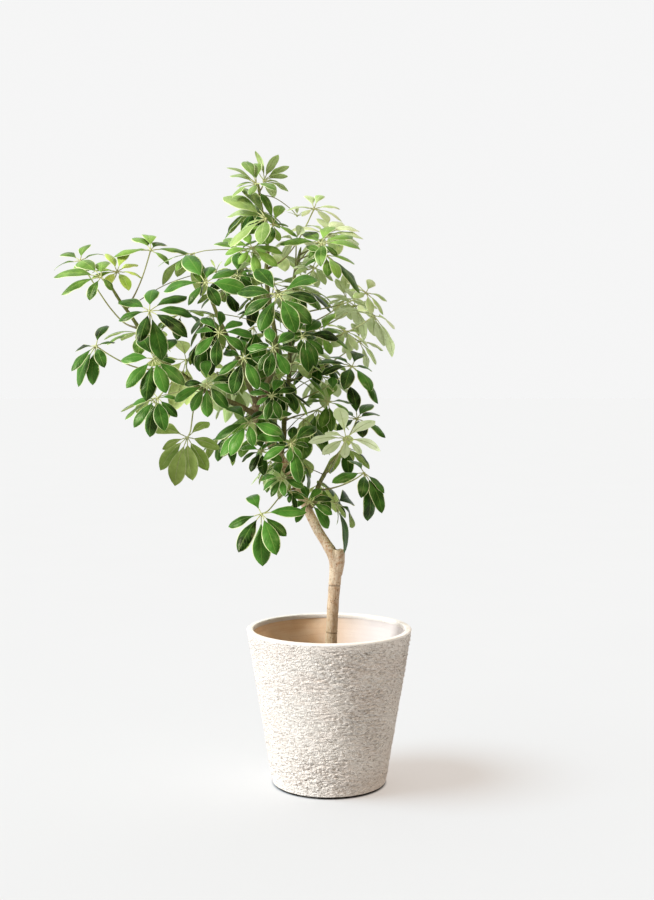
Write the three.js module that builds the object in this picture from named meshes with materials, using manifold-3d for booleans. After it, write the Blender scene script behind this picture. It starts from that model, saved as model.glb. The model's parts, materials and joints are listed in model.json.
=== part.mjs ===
// A potted umbrella plant: one kinked trunk in a tapered clay pot, five green stems that leave the trunk,
// and the palmate leaves that the stems and the trunk carry. Millimetres, +Z up.
// The origin is the middle of the pot's underside, on the surface that the pot stands on.
import * as THREE from 'three';
import { mergeVertices } from 'three/addons/utils/BufferGeometryUtils.js';
import Module from 'manifold-3d';

const wasm = await Module();
wasm.setup();

// ---- Driving dimensions, mm ----

const POT_HEIGHT = 265;
const POT_RIM_RADIUS = 140;
const POT_BASE_RADIUS = 96;
const POT_WALL = 8.5;
const POT_FLOOR = 15;
const POT_SIDES = 48;
const LIP_WIDTH = 12;
const LIP_HEIGHT = 8;
const LIP_EDGE = 2.2;
const LIP_UNDERCUT = 1;
const FOOT_EDGE = 2;
const INSIDE_CORNER = 6;

const DRAIN_COUNT = 3;
const DRAIN_RADIUS = 9;
const DRAIN_SIDES = 12;
const DRAIN_FROM_AXIS = 62;
const SLOT_WIDTH = 38;
const SLOT_HEIGHT = 3.5;
const SLOT_START = 50;
const FIRST_SLOT_TURN = THREE.MathUtils.degToRad(-113);

const SOIL_TOP = 200;
const SOIL_MOUND = 9;
const SOIL_SIDES = 28;
const SOIL_CORNER = 7;
const SOIL_EDGE_GAP = 1;
// The mound of the soil: share of the way out to the wall, and share of the mound's height.
const SOIL_MOUND_STEPS = [[0.72, 0.35], [0.38, 0.8]];

// Every piece stands this far clear of its neighbours; a seat is moved out in these steps until it does.
const GAP = 0.3;
const SEAT_STEP = 0.15;
const MOST_SEAT_MOVE = 2.4;

const TRUNK_SIDES = 10;
const TRUNK_RINGS = 24;
const STEM_SIDES = 7;
const STEM_RING_STEP = 34;
const FEWEST_STEM_RINGS = 5;

const PETIOLE_SIDES = 4;
const PETIOLE_RINGS = 5;
const PETIOLE_BASE_RADIUS = 2;
const PETIOLE_RADIUS = 1.35;
// How a leaf's stalk bends: its pull outward and along the stem at its foot, and its run into the hub,
// as shares of its length; the last two are how far it arrives straight and how far from below.
const PETIOLE_OUTWARD = 0.3;
const PETIOLE_ALONG = 0.12;
const PETIOLE_RUN_IN = 0.35;
const PETIOLE_STRAIGHT = 0.6;
const PETIOLE_FROM_BELOW = 0.4;
const HUB_RADIUS = 4.4;
const STALK_START = 1.9;

const LEAF_THICKNESS = 0.9;
const LEAF_ARCH = 0.14;
const LEAF_DROOP = 0.16;
const LEAF_WIDTH_SHARE = 0.185;
const SHORTEST_FOR_WIDTH = 26;
const STALK_HALF_WIDTH = 1.1;
const STALK_THICKNESS = 2;
const LEAF_CLEARANCE = 1.1;
const SIBLING_CLEARANCE = 0.2;

// ---- The front view that the plant's places were read from ----
// A place is given as the square it is seen in, on a frame 654 squares wide and 900 high, and its depth
// in millimetres behind the pot's axis. The eye stands in front of the pot and looks slightly down.

const FRAME_MIDDLE = [327, 450];
const FRAME_FOCAL = 1250;
const EYE = new THREE.Vector3(-3.7, -2104, 677);
const EYE_TILT = THREE.MathUtils.degToRad(3);

function seen(u, v, depth) {
  const right = (u - FRAME_MIDDLE[0]) / FRAME_FOCAL;
  const rise = (FRAME_MIDDLE[1] - v) / FRAME_FOCAL;
  const sight = new THREE.Vector3(
    right,
    Math.cos(EYE_TILT) + rise * Math.sin(EYE_TILT),
    rise * Math.cos(EYE_TILT) - Math.sin(EYE_TILT),
  );
  return sight.multiplyScalar((depth - EYE.y) / sight.y).add(EYE);
}

// ---- Solids ----

function solidFrom(vertices, triangles) {
  return new wasm.Manifold(
    new wasm.Mesh({
      numProp: 3,
      vertProperties: new Float32Array(vertices),
      triVerts: new Uint32Array(triangles),
    }),
  );
}

function solidOf(geometry) {
  const bare = geometry.clone();
  bare.deleteAttribute('normal');
  bare.deleteAttribute('uv');
  const merged = mergeVertices(bare, 1e-3);
  return solidFrom(merged.attributes.position.array, merged.index.array);
}

function geometryOf(solid) {
  const mesh = solid.getMesh();
  const geometry = new THREE.BufferGeometry();
  geometry.setAttribute('position', new THREE.BufferAttribute(mesh.vertProperties, 3));
  geometry.setIndex(new THREE.BufferAttribute(mesh.triVerts, 1));
  return geometry;
}

function meets(solid, other) {
  const shared = solid.intersect(other);
  const result = !shared.isEmpty();
  shared.delete();
  return result;
}

function boxesMeet(a, b) {
  return [0, 1, 2].every((k) => a.min[k] <= b.max[k] && b.min[k] <= a.max[k]);
}

// Rings of equal size joined into one closed body; a ring of one point is a pointed end.
function loft(rings) {
  const vertices = [];
  const starts = [];
  for (const ring of rings) {
    starts.push(vertices.length / 3);
    ring.forEach((point) => vertices.push(point.x, point.y, point.z));
  }
  const triangles = [];
  for (let i = 0; i + 1 < rings.length; i++) {
    const count = rings[i].length;
    const here = starts[i];
    const next = starts[i + 1];
    for (let j = 0; j < count; j++) {
      const k = (j + 1) % count;
      if (rings[i + 1].length === 1) {
        triangles.push(here + j, here + k, next);
      } else {
        triangles.push(here + j, here + k, next + k);
        triangles.push(here + j, next + k, next + j);
      }
    }
  }
  const last = rings.length - 1;
  for (let j = 1; j + 1 < rings[0].length; j++) triangles.push(0, j + 1, j);
  for (let j = 1; j + 1 < rings[last].length; j++) {
    triangles.push(starts[last], starts[last] + j, starts[last] + j + 1);
  }
  return solidFrom(vertices, triangles);
}

// A round tube along a smooth line through the points, with a radius given at each point.
function taperedTube(curve, radii, sides, ringCount) {
  const frames = curve.computeFrenetFrames(ringCount);
  const rings = [];
  for (let i = 0; i <= ringCount; i++) {
    const middle = curve.getPointAt(i / ringCount);
    const place = curve.getUtoTmapping(i / ringCount) * (radii.length - 1);
    const from = Math.min(Math.floor(place), radii.length - 2);
    const radius = THREE.MathUtils.lerp(radii[from], radii[from + 1], place - from);
    const ring = [];
    for (let j = 0; j < sides; j++) {
      const turn = (j / sides) * 2 * Math.PI;
      ring.push(
        middle
          .clone()
          .addScaledVector(frames.normals[i], radius * Math.cos(turn))
          .addScaledVector(frames.binormals[i], radius * Math.sin(turn)),
      );
    }
    rings.push(ring);
  }
  return loft(rings);
}

// ---- Pot ----

function potRadius(z) {
  return THREE.MathUtils.lerp(POT_BASE_RADIUS, POT_RIM_RADIUS, z / POT_HEIGHT);
}

function lathed(profile, sides) {
  const points = profile.map(([radius, z]) => new THREE.Vector2(radius, z));
  return solidOf(new THREE.LatheGeometry(points, sides).rotateX(Math.PI / 2));
}

function makePot() {
  const lipInside = POT_RIM_RADIUS - LIP_WIDTH;
  const lipUnder = POT_HEIGHT - LIP_HEIGHT;
  const profile = [
    [0, 0],
    [POT_BASE_RADIUS - FOOT_EDGE, 0],
    [potRadius(FOOT_EDGE), FOOT_EDGE],
    [potRadius(POT_HEIGHT - LIP_EDGE), POT_HEIGHT - LIP_EDGE],
    [POT_RIM_RADIUS - LIP_EDGE, POT_HEIGHT],
    [lipInside + LIP_EDGE, POT_HEIGHT],
    [lipInside, POT_HEIGHT - LIP_EDGE],
    [lipInside, lipUnder],
    [potRadius(lipUnder) - POT_WALL, lipUnder - LIP_UNDERCUT],
    [potRadius(POT_FLOOR) - POT_WALL, POT_FLOOR + INSIDE_CORNER],
    [potRadius(POT_FLOOR) - POT_WALL - INSIDE_CORNER, POT_FLOOR],
    [0, POT_FLOOR],
  ];
  let pot = lathed(profile, POT_SIDES);
  const slotLength = POT_BASE_RADIUS;
  for (let i = 0; i < DRAIN_COUNT; i++) {
    const turn = FIRST_SLOT_TURN + (i / DRAIN_COUNT) * 2 * Math.PI;
    const slot = new THREE.BoxGeometry(slotLength, SLOT_WIDTH, 2 * SLOT_HEIGHT)
      .translate(SLOT_START + slotLength / 2, 0, 0)
      .rotateZ(turn);
    const drain = new THREE.CylinderGeometry(DRAIN_RADIUS, DRAIN_RADIUS, 3 * POT_FLOOR, DRAIN_SIDES)
      .rotateX(Math.PI / 2)
      .translate(DRAIN_FROM_AXIS, 0, 0)
      .rotateZ(turn);
    pot = pot.subtract(solidOf(slot)).subtract(solidOf(drain));
  }
  return pot;
}

// ---- Trunk and stems: [seen right, seen down, depth, radius] along each ----

const TRUNK = [
  [330.7, 712, 0, 8],
  [330.7, 684, 0, 15],
  [330.7, 668, 0, 12.5],
  [331.2, 640, 0, 10.3],
  [333.2, 602, -2, 10],
  [335.8, 572, -4, 10.6],
  [336.4, 556, -4, 12.4],
  [329.5, 544, -3, 9.6],
  [318, 528, 0, 8.4],
  [309, 512, 2, 8.2],
  [295.5, 484, 6, 7.8],
  [283.5, 464, 8, 7.4],
  [273, 448, 8, 7.2],
  [257.5, 422, 4, 6.8],
  [255, 408, 0, 6.6],
  [261, 398, -2, 6],
  [267, 391, -3, 5.4],
];
const TRUNK_STUB = [
  [335.5, 561, -4, 9],
  [339.8, 549.8, -5, 8],
];

const STEMS = {
  stem_low_right: {
    on: 'trunk',
    route: [
      [310.5, 507, 0, 4.2],
      [317, 489.5, -6, 3.9],
      [324.5, 474, -10, 3.5],
      [328, 466.5, -12, 3],
    ],
  },
  stem_right: {
    on: 'trunk',
    route: [
      [279, 456, 16, 4.8],
      [283, 428, 40, 4.6],
      [286.5, 405, 52, 4.4],
      [289.5, 368, 56, 4.1],
      [290.3, 330, 50, 3.8],
      [292.2, 291, 44, 3.4],
      [295.6, 270, 42, 3.1],
      [299.6, 253, 40, 2.6],
    ],
  },
  stem_top: {
    on: 'trunk',
    route: [
      [266, 395, 0, 4.8],
      [273.5, 372, 0, 4.6],
      [275.5, 340, -4, 4.3],
      [269.5, 303, -6, 4],
      [266, 273, -4, 3.7],
      [267.6, 250, -2, 3.3],
      [264.6, 226, 0, 2.9],
      [260.6, 202, 0, 2.5],
      [259, 189, 0, 2.2],
    ],
  },
  stem_left: {
    on: 'trunk',
    route: [
      [255, 412, -4, 4.8],
      [236, 404, -22, 4.5],
      [208, 393, -34, 4.2],
      [180, 373, -40, 3.9],
      [158, 357, -44, 3.7],
      [147, 343, -46, 3.5],
      [139, 327, -48, 3.2],
      [123, 305.5, -48, 2.8],
      [109, 283, -46, 2.3],
    ],
  },
  stem_middle: {
    on: 'trunk',
    route: [
      [257, 402, -8, 4.6],
      [247, 376, -34, 4.3],
      [232, 347, -50, 3.9],
      [219, 319, -60, 3.4],
      [209, 293, -64, 2.6],
    ],
  },
};

// ---- Leaves ----
// hub: where the leaflets' stalks meet, as seen, with depth behind the pot's axis in millimetres.
// on and from: the stem that carries the leaf, and where on it the leaf's stalk starts, as seen.
// up: the side that the leaf's top faces. reach: from the hub to a leaflet's tip, in millimetres.
// tips: where the tip of each leaflet is seen. spokes: how many leaflets are spread evenly instead.
// droop: how far the tips hang below the hub's plane, as a share of the reach.
// leaflets: how many the leaf has in all, where the usual number would show where none is seen.

const LEAVES = {
  leaf_front_1: {
    on: 'stem_top', from: [268, 298], hub: [278.5, 295], depth: -130, up: [-0.05, -0.75, 0.65], reach: 84,
    tips: [[236, 292.6], [243.8, 315.6], [257.5, 330], [297, 332], [255, 268], [311, 324], [318, 300]],
  },
  leaf_front_2: {
    on: 'stem_top', from: [275, 362], hub: [273.3, 348], depth: -118, up: [0, -0.8, 0.6], reach: 62,
    tips: [[246, 348], [258, 370.2], [268.9, 377.2], [288.6, 374.6], [300, 352], [268, 326]],
  },
  leaf_front_3: {
    on: 'stem_middle', from: [243, 369], hub: [244, 358], depth: -104, up: [-0.05, -0.75, 0.65], reach: 64,
    tips: [[218.5, 374], [231.9, 394.4], [258.7, 389.3], [240, 338], [222, 352]],
  },
  leaf_front_4: {
    on: 'trunk', from: [264, 394], hub: [272, 396], depth: -72, up: [0.05, -0.75, 0.65], reach: 48,
    tips: [[266, 420], [281, 418], [291, 402], [256, 404], [280, 378]],
  },
  leaf_front_5: {
    on: 'trunk', from: [256, 416], hub: [249, 422.3], depth: -80, up: [-0.25, -0.6, 0.75], reach: 76,
    tips: [[213.8, 438.3], [219.6, 456], [230.4, 455.5], [229, 405], [253, 446], [262, 410]],
  },
  leaf_front_6: {
    on: 'trunk', from: [274, 450], hub: [262, 451], depth: -50, up: [-0.3, -0.5, 0.8], reach: 50,
    tips: [[250.8, 471.5], [240.6, 461], [240, 448], [264, 475]],
  },
  leaf_front_7: {
    on: 'trunk', from: [281, 460], hub: [291, 444], depth: -100, up: [0, -0.75, 0.65], reach: 66,
    tips: [[262.3, 459.3], [254, 435.7], [293, 426], [289, 462], [301.8, 458], [309.5, 446], [300.6, 483.5]],
  },
  leaf_low_1: {
    on: 'trunk', from: [291, 478], hub: [282, 478], depth: -50, up: [-0.3, -0.6, 0.7], reach: 50,
    tips: [[262, 489.3], [271, 497], [284, 496], [259, 478], [276, 462]],
  },
  leaf_low_2: {
    on: 'trunk', from: [297, 488], hub: [261.4, 514], depth: -72, up: [-0.1, -0.65, 0.75], reach: 88,
    tips: [[228, 527.9], [237.7, 552], [261.4, 566.7], [277, 554.5], [285.6, 536.4], [249.2, 494]],
    leaflets: 7,
  },
  leaf_low_3: {
    on: 'trunk', from: [306, 506], hub: [309, 502], depth: -44, up: [0, -0.75, 0.65], reach: 48,
    tips: [[295.3, 522.4], [330.2, 528], [333, 513.9], [320, 488], [291, 506]],
  },
  leaf_low_4: {
    on: 'stem_low_right', from: [314, 495], hub: [335, 503], depth: -22, up: [0.75, -0.3, 0.6],
    reach: 86, droop: 0.3,
    tips: [[346, 554], [343, 514], [351, 527], [337, 526], [350, 498]],
    leaflets: 6,
  },
  leaf_right_1: {
    on: 'stem_low_right', from: [317, 489], hub: [364, 473], depth: -30, up: [0.3, -0.45, 0.85], reach: 80,
    tips: [[331, 481.5], [361.8, 497], [369.5, 522], [384.2, 513], [385, 493], [350, 460]],
    leaflets: 6,
  },
  leaf_right_2: {
    on: 'stem_low_right', from: [325, 473], hub: [346, 438.5], depth: -46, up: [0.1, 0.6, 0.8], reach: 66,
    tips: [[376, 419.5], [337.4, 405.5], [362.3, 454], [382, 449], [344, 458], [324, 432]],
  },
  leaf_right_3: {
    on: 'stem_low_right', from: [327.6, 467.5], hub: [357, 419], depth: 60, up: [0.1, -0.3, 0.95], reach: 64,
    tips: [[352, 386], [372, 403], [380, 414], [387, 436.5], [336, 412]],
  },
  leaf_right_4: {
    on: 'stem_right', from: [284.5, 420], hub: [328, 402], depth: 6, up: [0.1, -0.3, 0.9], reach: 54,
    tips: [[350, 411.6], [322.8, 427.8], [332, 432], [334, 382], [309, 395], [309, 378]],
  },
  leaf_right_5: {
    on: 'stem_right', from: [286.5, 405], hub: [352, 366.6], depth: -14, up: [0.2, -0.35, 0.9], reach: 74,
    tips: [[379, 404], [328, 356.5], [373, 371], [343, 388], [360, 352]],
  },
  leaf_right_6: {
    on: 'stem_right', from: [289.5, 368], hub: [302, 336], depth: -56, up: [0.15, -0.7, 0.65], reach: 74,
    tips: [[324.5, 353.7], [317.5, 367], [299, 356], [309.9, 372], [281, 342]],
  },
  leaf_right_7: {
    on: 'stem_right', from: [290, 348], hub: [321.3, 334.5], depth: 4, up: [0.3, -0.4, 0.85], reach: 62,
    tips: [[331.5, 354], [340, 331], [313, 352], [309, 318], [330, 313]],
  },
  leaf_right_8: {
    on: 'stem_right', from: [290.4, 330], hub: [346, 299], depth: 70, up: [0.1, 0.3, 0.95], reach: 50,
    tips: [[336, 278], [344.4, 273], [366, 302], [352, 320], [327, 304]],
  },
  leaf_right_9: {
    on: 'stem_right', from: [290.3, 338], hub: [355, 306], depth: 14, up: [0.3, 0.4, 0.85], reach: 62,
    tips: [[366, 341], [358.4, 327], [376, 320], [338, 308], [350, 288]],
  },
  leaf_right_10: {
    on: 'stem_right', from: [291, 316], hub: [366, 293], depth: -30, up: [0.5, -0.35, 0.8], reach: 48,
    tips: [[384.4, 314.7], [388, 301], [371, 314], [349, 290], [372, 279]],
  },
  leaf_right_11: {
    on: 'stem_right', from: [290, 352], hub: [374, 316], depth: -8, up: [0.55, 0.15, 0.8], reach: 80,
    tips: [[394.2, 356.8], [392, 327], [372, 334], [384, 344], [360, 309]],
    leaflets: 6,
  },
  leaf_right_12: {
    on: 'stem_right', from: [289.4, 364], hub: [345, 331], depth: 64, up: [0.4, -0.25, 0.9], reach: 54,
    tips: [[350, 360.5], [357, 350], [366, 337], [322, 324], [334, 347]],
  },
  leaf_right_13: {
    on: 'stem_right', from: [288.5, 380], hub: [359, 341.5], depth: 118, up: [0.5, 0.2, 0.85], reach: 54,
    tips: [[376.7, 364.6], [368, 369], [384, 350], [352, 322], [343, 352]],
  },
  leaf_top_1: {
    on: 'stem_top', from: [259.6, 194], hub: [256.5, 184], depth: -22, up: [-0.2, -0.3, 0.95], reach: 56,
    tips: [[226.5, 166], [229, 175], [255.8, 161], [244.3, 160], [236, 186]],
  },
  leaf_top_2: {
    on: 'stem_top', from: [259, 190], hub: [264, 181], depth: 16, up: [0.1, 0.2, 0.97], reach: 54,
    tips: [[255.8, 150.2], [246.5, 156.2], [278, 153.4], [289.6, 165.5], [289, 174.5], [283, 185]],
  },
  leaf_top_3: {
    on: 'stem_top', from: [264.6, 227], hub: [266, 219], depth: -50, up: [-0.3, -0.45, 0.85], reach: 86,
    tips: [[221.4, 196.1], [227.8, 214], [240.5, 184.6], [251, 207], [240, 230]],
    leaflets: 7,
  },
  leaf_top_4: {
    on: 'stem_top', from: [266.5, 240], hub: [273, 224.5], depth: -28, up: [0.2, -0.5, 0.85], reach: 54,
    tips: [[262.2, 192.3], [281.3, 204.4], [289, 226], [269, 244], [279, 241]],
  },
  leaf_top_5: {
    on: 'stem_top', from: [266.3, 268], hub: [314, 209], depth: 62, up: [0.15, -0.25, 0.97], reach: 52,
    tips: [[306.3, 194.6], [322.2, 194.6], [341.3, 208], [343.2, 220.7], [328.6, 222], [302, 216]],
  },
  leaf_top_6: {
    on: 'stem_right', from: [299.2, 254.5], hub: [326.5, 234], depth: -10, up: [0.3, -0.4, 0.88], reach: 64,
    tips: [[364.3, 238.6], [360, 231], [357.3, 248], [341.3, 247], [322, 217], [343, 222], [306, 225]],
  },
  leaf_top_7: {
    on: 'stem_right', from: [298, 260], hub: [321.5, 244], depth: -52, up: [-0.1, -0.55, 0.85], reach: 70,
    tips: [[304, 231], [279, 242], [308, 258], [338, 256], [330, 226]],
  },
  leaf_top_8: {
    on: 'stem_right', from: [293, 284], hub: [325.4, 255], depth: -80, up: [0.3, -0.4, 0.87], reach: 70,
    tips: [[340, 278], [329, 275], [361, 293], [356, 262], [303, 264]],
  },
  leaf_top_9: {
    on: 'stem_right', from: [295.6, 270], hub: [313, 267], depth: 2, up: [0.1, -0.45, 0.9], reach: 42,
    tips: [[310, 284], [317, 287], [325.4, 285], [334, 281], [299, 262], [322, 252]],
  },
  leaf_top_10: {
    on: 'stem_right', from: [296.5, 266], hub: [296, 241], depth: -14, up: [-0.1, 0.35, 0.93], reach: 46,
    tips: [[292.5, 262], [283, 258], [302, 262], [280, 236], [304, 226]],
  },
  leaf_centre_1: {
    on: 'stem_middle', from: [209.5, 295], hub: [205.5, 283], depth: -92, up: [-0.1, -0.65, 0.75], reach: 80,
    tips: [[187.5, 305], [218.5, 306], [183, 254], [237, 270], [213, 265]],
  },
  leaf_centre_2: {
    on: 'stem_middle', from: [226, 334], hub: [219, 333], depth: -86, up: [0, -0.7, 0.7], reach: 62,
    tips: [[195, 355], [215, 366], [244, 350], [195, 331], [224, 312]],
  },
  leaf_centre_3: {
    on: 'stem_middle', from: [213, 304], hub: [237.4, 276], depth: -40, up: [0, -0.55, 0.85], reach: 60,
    tips: [[238.5, 250.5], [215, 281], [256, 271], [228, 296], [252, 290]],
  },
  leaf_centre_4: {
    on: 'stem_top', from: [266, 273], hub: [240, 252], depth: 44, up: [-0.3, -0.3, 0.92], reach: 58,
    tips: [[213.8, 242], [225, 237], [249, 262], [226, 262], [256, 240]],
  },
  leaf_centre_5: {
    on: 'stem_top', from: [267, 262], hub: [252, 248], depth: -50, up: [0, -0.75, 0.65], reach: 54,
    tips: [[258.4, 274], [277, 267], [243, 232], [238, 264], [272, 240]],
  },
  leaf_left_1: {
    on: 'stem_left', from: [139.5, 328], hub: [80, 261], depth: -20, up: [-0.25, -0.35, 0.92], reach: 58,
    tips: [[62, 253], [106, 254], [52.5, 270], [74.5, 272], [89, 243]],
    leaflets: 6,
  },
  leaf_left_2: {
    on: 'stem_left', from: [112, 288], hub: [101, 277], depth: -78, up: [-0.1, -0.6, 0.8], reach: 80,
    tips: [[89.5, 300], [60.5, 294], [53.5, 275.5], [77, 262], [104, 260], [113.5, 290]],
    leaflets: 6,
  },
  leaf_left_3: {
    on: 'stem_left', from: [109.5, 284], hub: [117, 272], depth: -24, up: [0.1, -0.4, 0.95], reach: 52,
    tips: [[127, 249], [138, 264], [143, 277], [130, 290], [107, 252]],
  },
  leaf_left_4: {
    on: 'stem_left', from: [125, 308.5], hub: [150.5, 250.5], depth: 10, up: [0.15, -0.4, 0.92], reach: 76,
    tips: [[135.5, 237], [148, 236], [130, 252], [163, 243], [190, 253], [170, 264]],
    leaflets: 7,
  },
  leaf_left_5: {
    on: 'stem_left', from: [147.5, 344], hub: [149.5, 311], depth: -94, up: [0, -0.65, 0.75], reach: 84,
    tips: [[117.5, 321], [141, 342], [163.3, 360], [194, 315], [187, 337], [152, 288]],
  },
  leaf_left_6: {
    on: 'stem_left', from: [156, 355.5], hub: [154, 359], depth: -104, up: [0, -0.75, 0.65], reach: 74,
    tips: [[120, 359], [126.8, 388.6], [145.4, 401], [165.8, 393], [186, 384], [176, 362]],
  },
  leaf_left_7: {
    on: 'stem_left', from: [166, 363], hub: [96, 346], depth: -50, up: [-0.2, -0.55, 0.85], reach: 66,
    tips: [[105, 324], [74, 351], [71, 371], [77, 387], [91, 385], [104, 367], [115, 342]],
    leaflets: 7,
  },
  leaf_left_8: {
    on: 'stem_left', from: [180, 373], hub: [157.7, 398], depth: -70, up: [-0.1, -0.65, 0.75], reach: 66,
    tips: [[134, 428], [149, 438], [163, 431], [177, 417], [178, 398], [132, 404]],
  },
  leaf_left_9: {
    on: 'stem_left', from: [192, 382], hub: [186, 360], depth: 70, up: [0.1, 0.5, 0.85], reach: 84,
    tips: [[174.5, 412], [188, 405], [164, 378], [206, 352], [178, 338]],
  },
  leaf_left_10: {
    on: 'stem_left', from: [214, 396], hub: [207, 384], depth: -92, up: [0, -0.8, 0.6], reach: 62,
    tips: [[205, 359], [183, 384], [191, 411], [206, 417], [227, 409], [229, 378]],
  },
  leaf_left_11: {
    on: 'stem_left', from: [204, 391], hub: [187.5, 437.5], depth: 20, up: [-0.25, 0.7, 0.6], reach: 76,
    tips: [[161, 449], [158, 469], [173, 486], [190.5, 481], [206.5, 471], [220.5, 448], [210, 421]],
  },
  leaf_back_1: {
    on: 'stem_right', from: [288, 388], hub: [262, 356], depth: 150, up: [-0.2, 0.4, 0.9],
    reach: 78, spokes: 7,
  },
  leaf_back_2: {
    on: 'stem_top', from: [269.7, 305], hub: [274, 284], depth: 140, up: [0.1, 0.4, 0.9],
    reach: 76, spokes: 7,
  },
};

// ---- Placing ----

const STEM_STEPS = 200;

// The nearest place on a stem's middle line to a place that is seen.
function placeOnStem(stem, [u, v]) {
  let best = null;
  for (let i = 0; i <= STEM_STEPS; i++) {
    const point = stem.curve.getPointAt(i / STEM_STEPS);
    const onSight = seen(u, v, point.y);
    const miss = onSight.distanceTo(point);
    if (!best || miss < best.miss) best = { miss, share: i / STEM_STEPS, point };
  }
  const place = stem.curve.getUtoTmapping(best.share) * (stem.radii.length - 1);
  const from = Math.min(Math.floor(place), stem.radii.length - 2);
  return {
    point: best.point,
    tangent: stem.curve.getTangentAt(best.share),
    radius: THREE.MathUtils.lerp(stem.radii[from], stem.radii[from + 1], place - from),
  };
}

function squareTo(vector, axis) {
  return vector.clone().addScaledVector(axis, -vector.dot(axis)).normalize();
}

function routeOf(rows) {
  return new THREE.CatmullRomCurve3(rows.map(([u, v, depth]) => seen(u, v, depth)));
}

// A stem starts square to the side of the trunk, a gap clear of its bark.
function makeStem(carrier, rows) {
  const radii = rows.map((row) => row[3]);
  const points = rows.map(([u, v, depth]) => seen(u, v, depth));
  const seat = placeOnStem(carrier, [rows[0][0], rows[0][1]]);
  const outward = squareTo(points[1].clone().sub(seat.point), seat.tangent);
  for (let extra = 0; ; extra += SEAT_STEP) {
    const start = seat.point.clone().addScaledVector(outward, seat.radius + GAP + extra);
    const knee = start.clone().addScaledVector(outward, 2 * radii[0]);
    knee.addScaledVector(points[1].clone().sub(start).normalize(), radii[0]);
    const curve = new THREE.CatmullRomCurve3([start, knee, ...points.slice(1)]);
    const allRadii = [radii[0], radii[0], ...radii.slice(1)];
    const rings = Math.max(FEWEST_STEM_RINGS, Math.round(curve.getLength() / STEM_RING_STEP));
    const solid = taperedTube(curve, allRadii, STEM_SIDES, rings);
    const isSeated = !meets(solid, carrier.solid) || extra > MOST_SEAT_MOVE;
    if (isSeated) return { solid, curve, radii: allRadii };
  }
}

// The stalk of a leaf, from the side of its stem to the hub. bow moves its middle sideways.
function petioleCurve(seat, hub, up, offset, bow) {
  const outward = squareTo(hub.clone().sub(seat.point), seat.tangent);
  const start = seat.point.clone().addScaledVector(outward, seat.radius + offset);
  const span = hub.clone().sub(start);
  const length = span.length();
  const heading = span.clone().normalize();
  const leave = outward.clone().multiplyScalar(PETIOLE_OUTWARD * length);
  leave.addScaledVector(seat.tangent, PETIOLE_ALONG * length);
  const arrive = heading.clone().multiplyScalar(PETIOLE_STRAIGHT);
  arrive.addScaledVector(up, PETIOLE_FROM_BELOW).normalize();
  return new THREE.CubicBezierCurve3(
    start,
    start.clone().add(leave).add(bow),
    hub.clone().addScaledVector(arrive, -PETIOLE_RUN_IN * length).add(bow),
    hub,
  );
}

const BOWS = [0, 8, -8, 16, -16, 26, -26, 38, -38];

// Tries the stalk without a bow, then with wider and wider ones, until it is clear of the rest.
function makePetiole(seat, hub, up, clear) {
  const heading = hub.clone().sub(seat.point).normalize();
  const sideways = new THREE.Vector3().crossVectors(heading, up).normalize();
  const upward = squareTo(up, heading);
  let found = null;
  for (const across of BOWS) {
    for (const over of BOWS) {
      const bow = sideways.clone().multiplyScalar(across).addScaledVector(upward, over);
      for (let offset = GAP; offset < GAP + MOST_SEAT_MOVE; offset += SEAT_STEP) {
        const curve = petioleCurve(seat, hub, up, offset, bow);
        const radii = [PETIOLE_BASE_RADIUS, PETIOLE_RADIUS, PETIOLE_RADIUS, PETIOLE_RADIUS];
        const solid = taperedTube(curve, radii, PETIOLE_SIDES, PETIOLE_RINGS);
        found = found ?? solid;
        if (clear(solid)) return solid;
      }
    }
  }
  console.warn('a leaf stalk is not clear of its neighbours');
  return found;
}

// One leaflet: a short stalk, then a blade that is flat on top, thickest under its midrib, and arched
// from hub to tip. Each section has three corners: both margins, and the midrib underneath.
const LEAFLET_SECTIONS = [
  { at: 0, width: 0, stalk: true },
  { at: 0.2, width: 0, stalk: true },
  { at: 0.44, width: 0.86, stalk: false },
  { at: 0.74, width: 0.96, stalk: false },
];

// from: 0 for the whole leaflet, 1 for its blade alone. extra: added all round, to test for room, where
// each section is a box about the leaflet and not a triangle.
function leafletSolid(hub, tip, up, width, twist, arch, from, extra) {
  const chord = tip.clone().sub(hub);
  const heading = chord.clone().normalize();
  const rise = squareTo(up, heading);
  const crown = hub.clone().addScaledVector(chord, 0.5).addScaledVector(rise, arch * chord.length());
  const line = new THREE.QuadraticBezierCurve3(hub, crown, tip);
  const rings = LEAFLET_SECTIONS.slice(from).map((section) => {
    const share = Math.max(section.at, STALK_START / chord.length());
    const middle = line.getPoint(share);
    const tangent = line.getTangent(share);
    const top = squareTo(rise, tangent).applyAxisAngle(tangent, section.stalk ? 0 : twist);
    const side = new THREE.Vector3().crossVectors(tangent, top);
    const half = (section.stalk ? STALK_HALF_WIDTH : section.width * width) + extra;
    const thick = (section.stalk ? STALK_THICKNESS : LEAF_THICKNESS) / 2 + extra;
    const corner = (out, over) => middle.clone().addScaledVector(side, out).addScaledVector(top, over);
    const lowest = extra > 0 ? [corner(half, -thick), corner(-half, -thick)] : [corner(0, -thick)];
    return [corner(-half, thick), corner(half, thick), ...lowest];
  });
  const end = line.getPoint(1).addScaledVector(line.getTangent(1), extra);
  return loft([...rings, [end]]);
}

const FIRST_SPOKE = new THREE.Vector3(0.9, 0.3, -0.2);
const USUAL_LEAFLETS = 8;
const NARROWEST_GAP = THREE.MathUtils.degToRad(72);
const SPOKE_ANGLE = THREE.MathUtils.degToRad(48);
const HIDDEN_REACH = [0.84, 0.95, 0.9];
const SPOKE_DROOP_STEP = 0.12;

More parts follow.
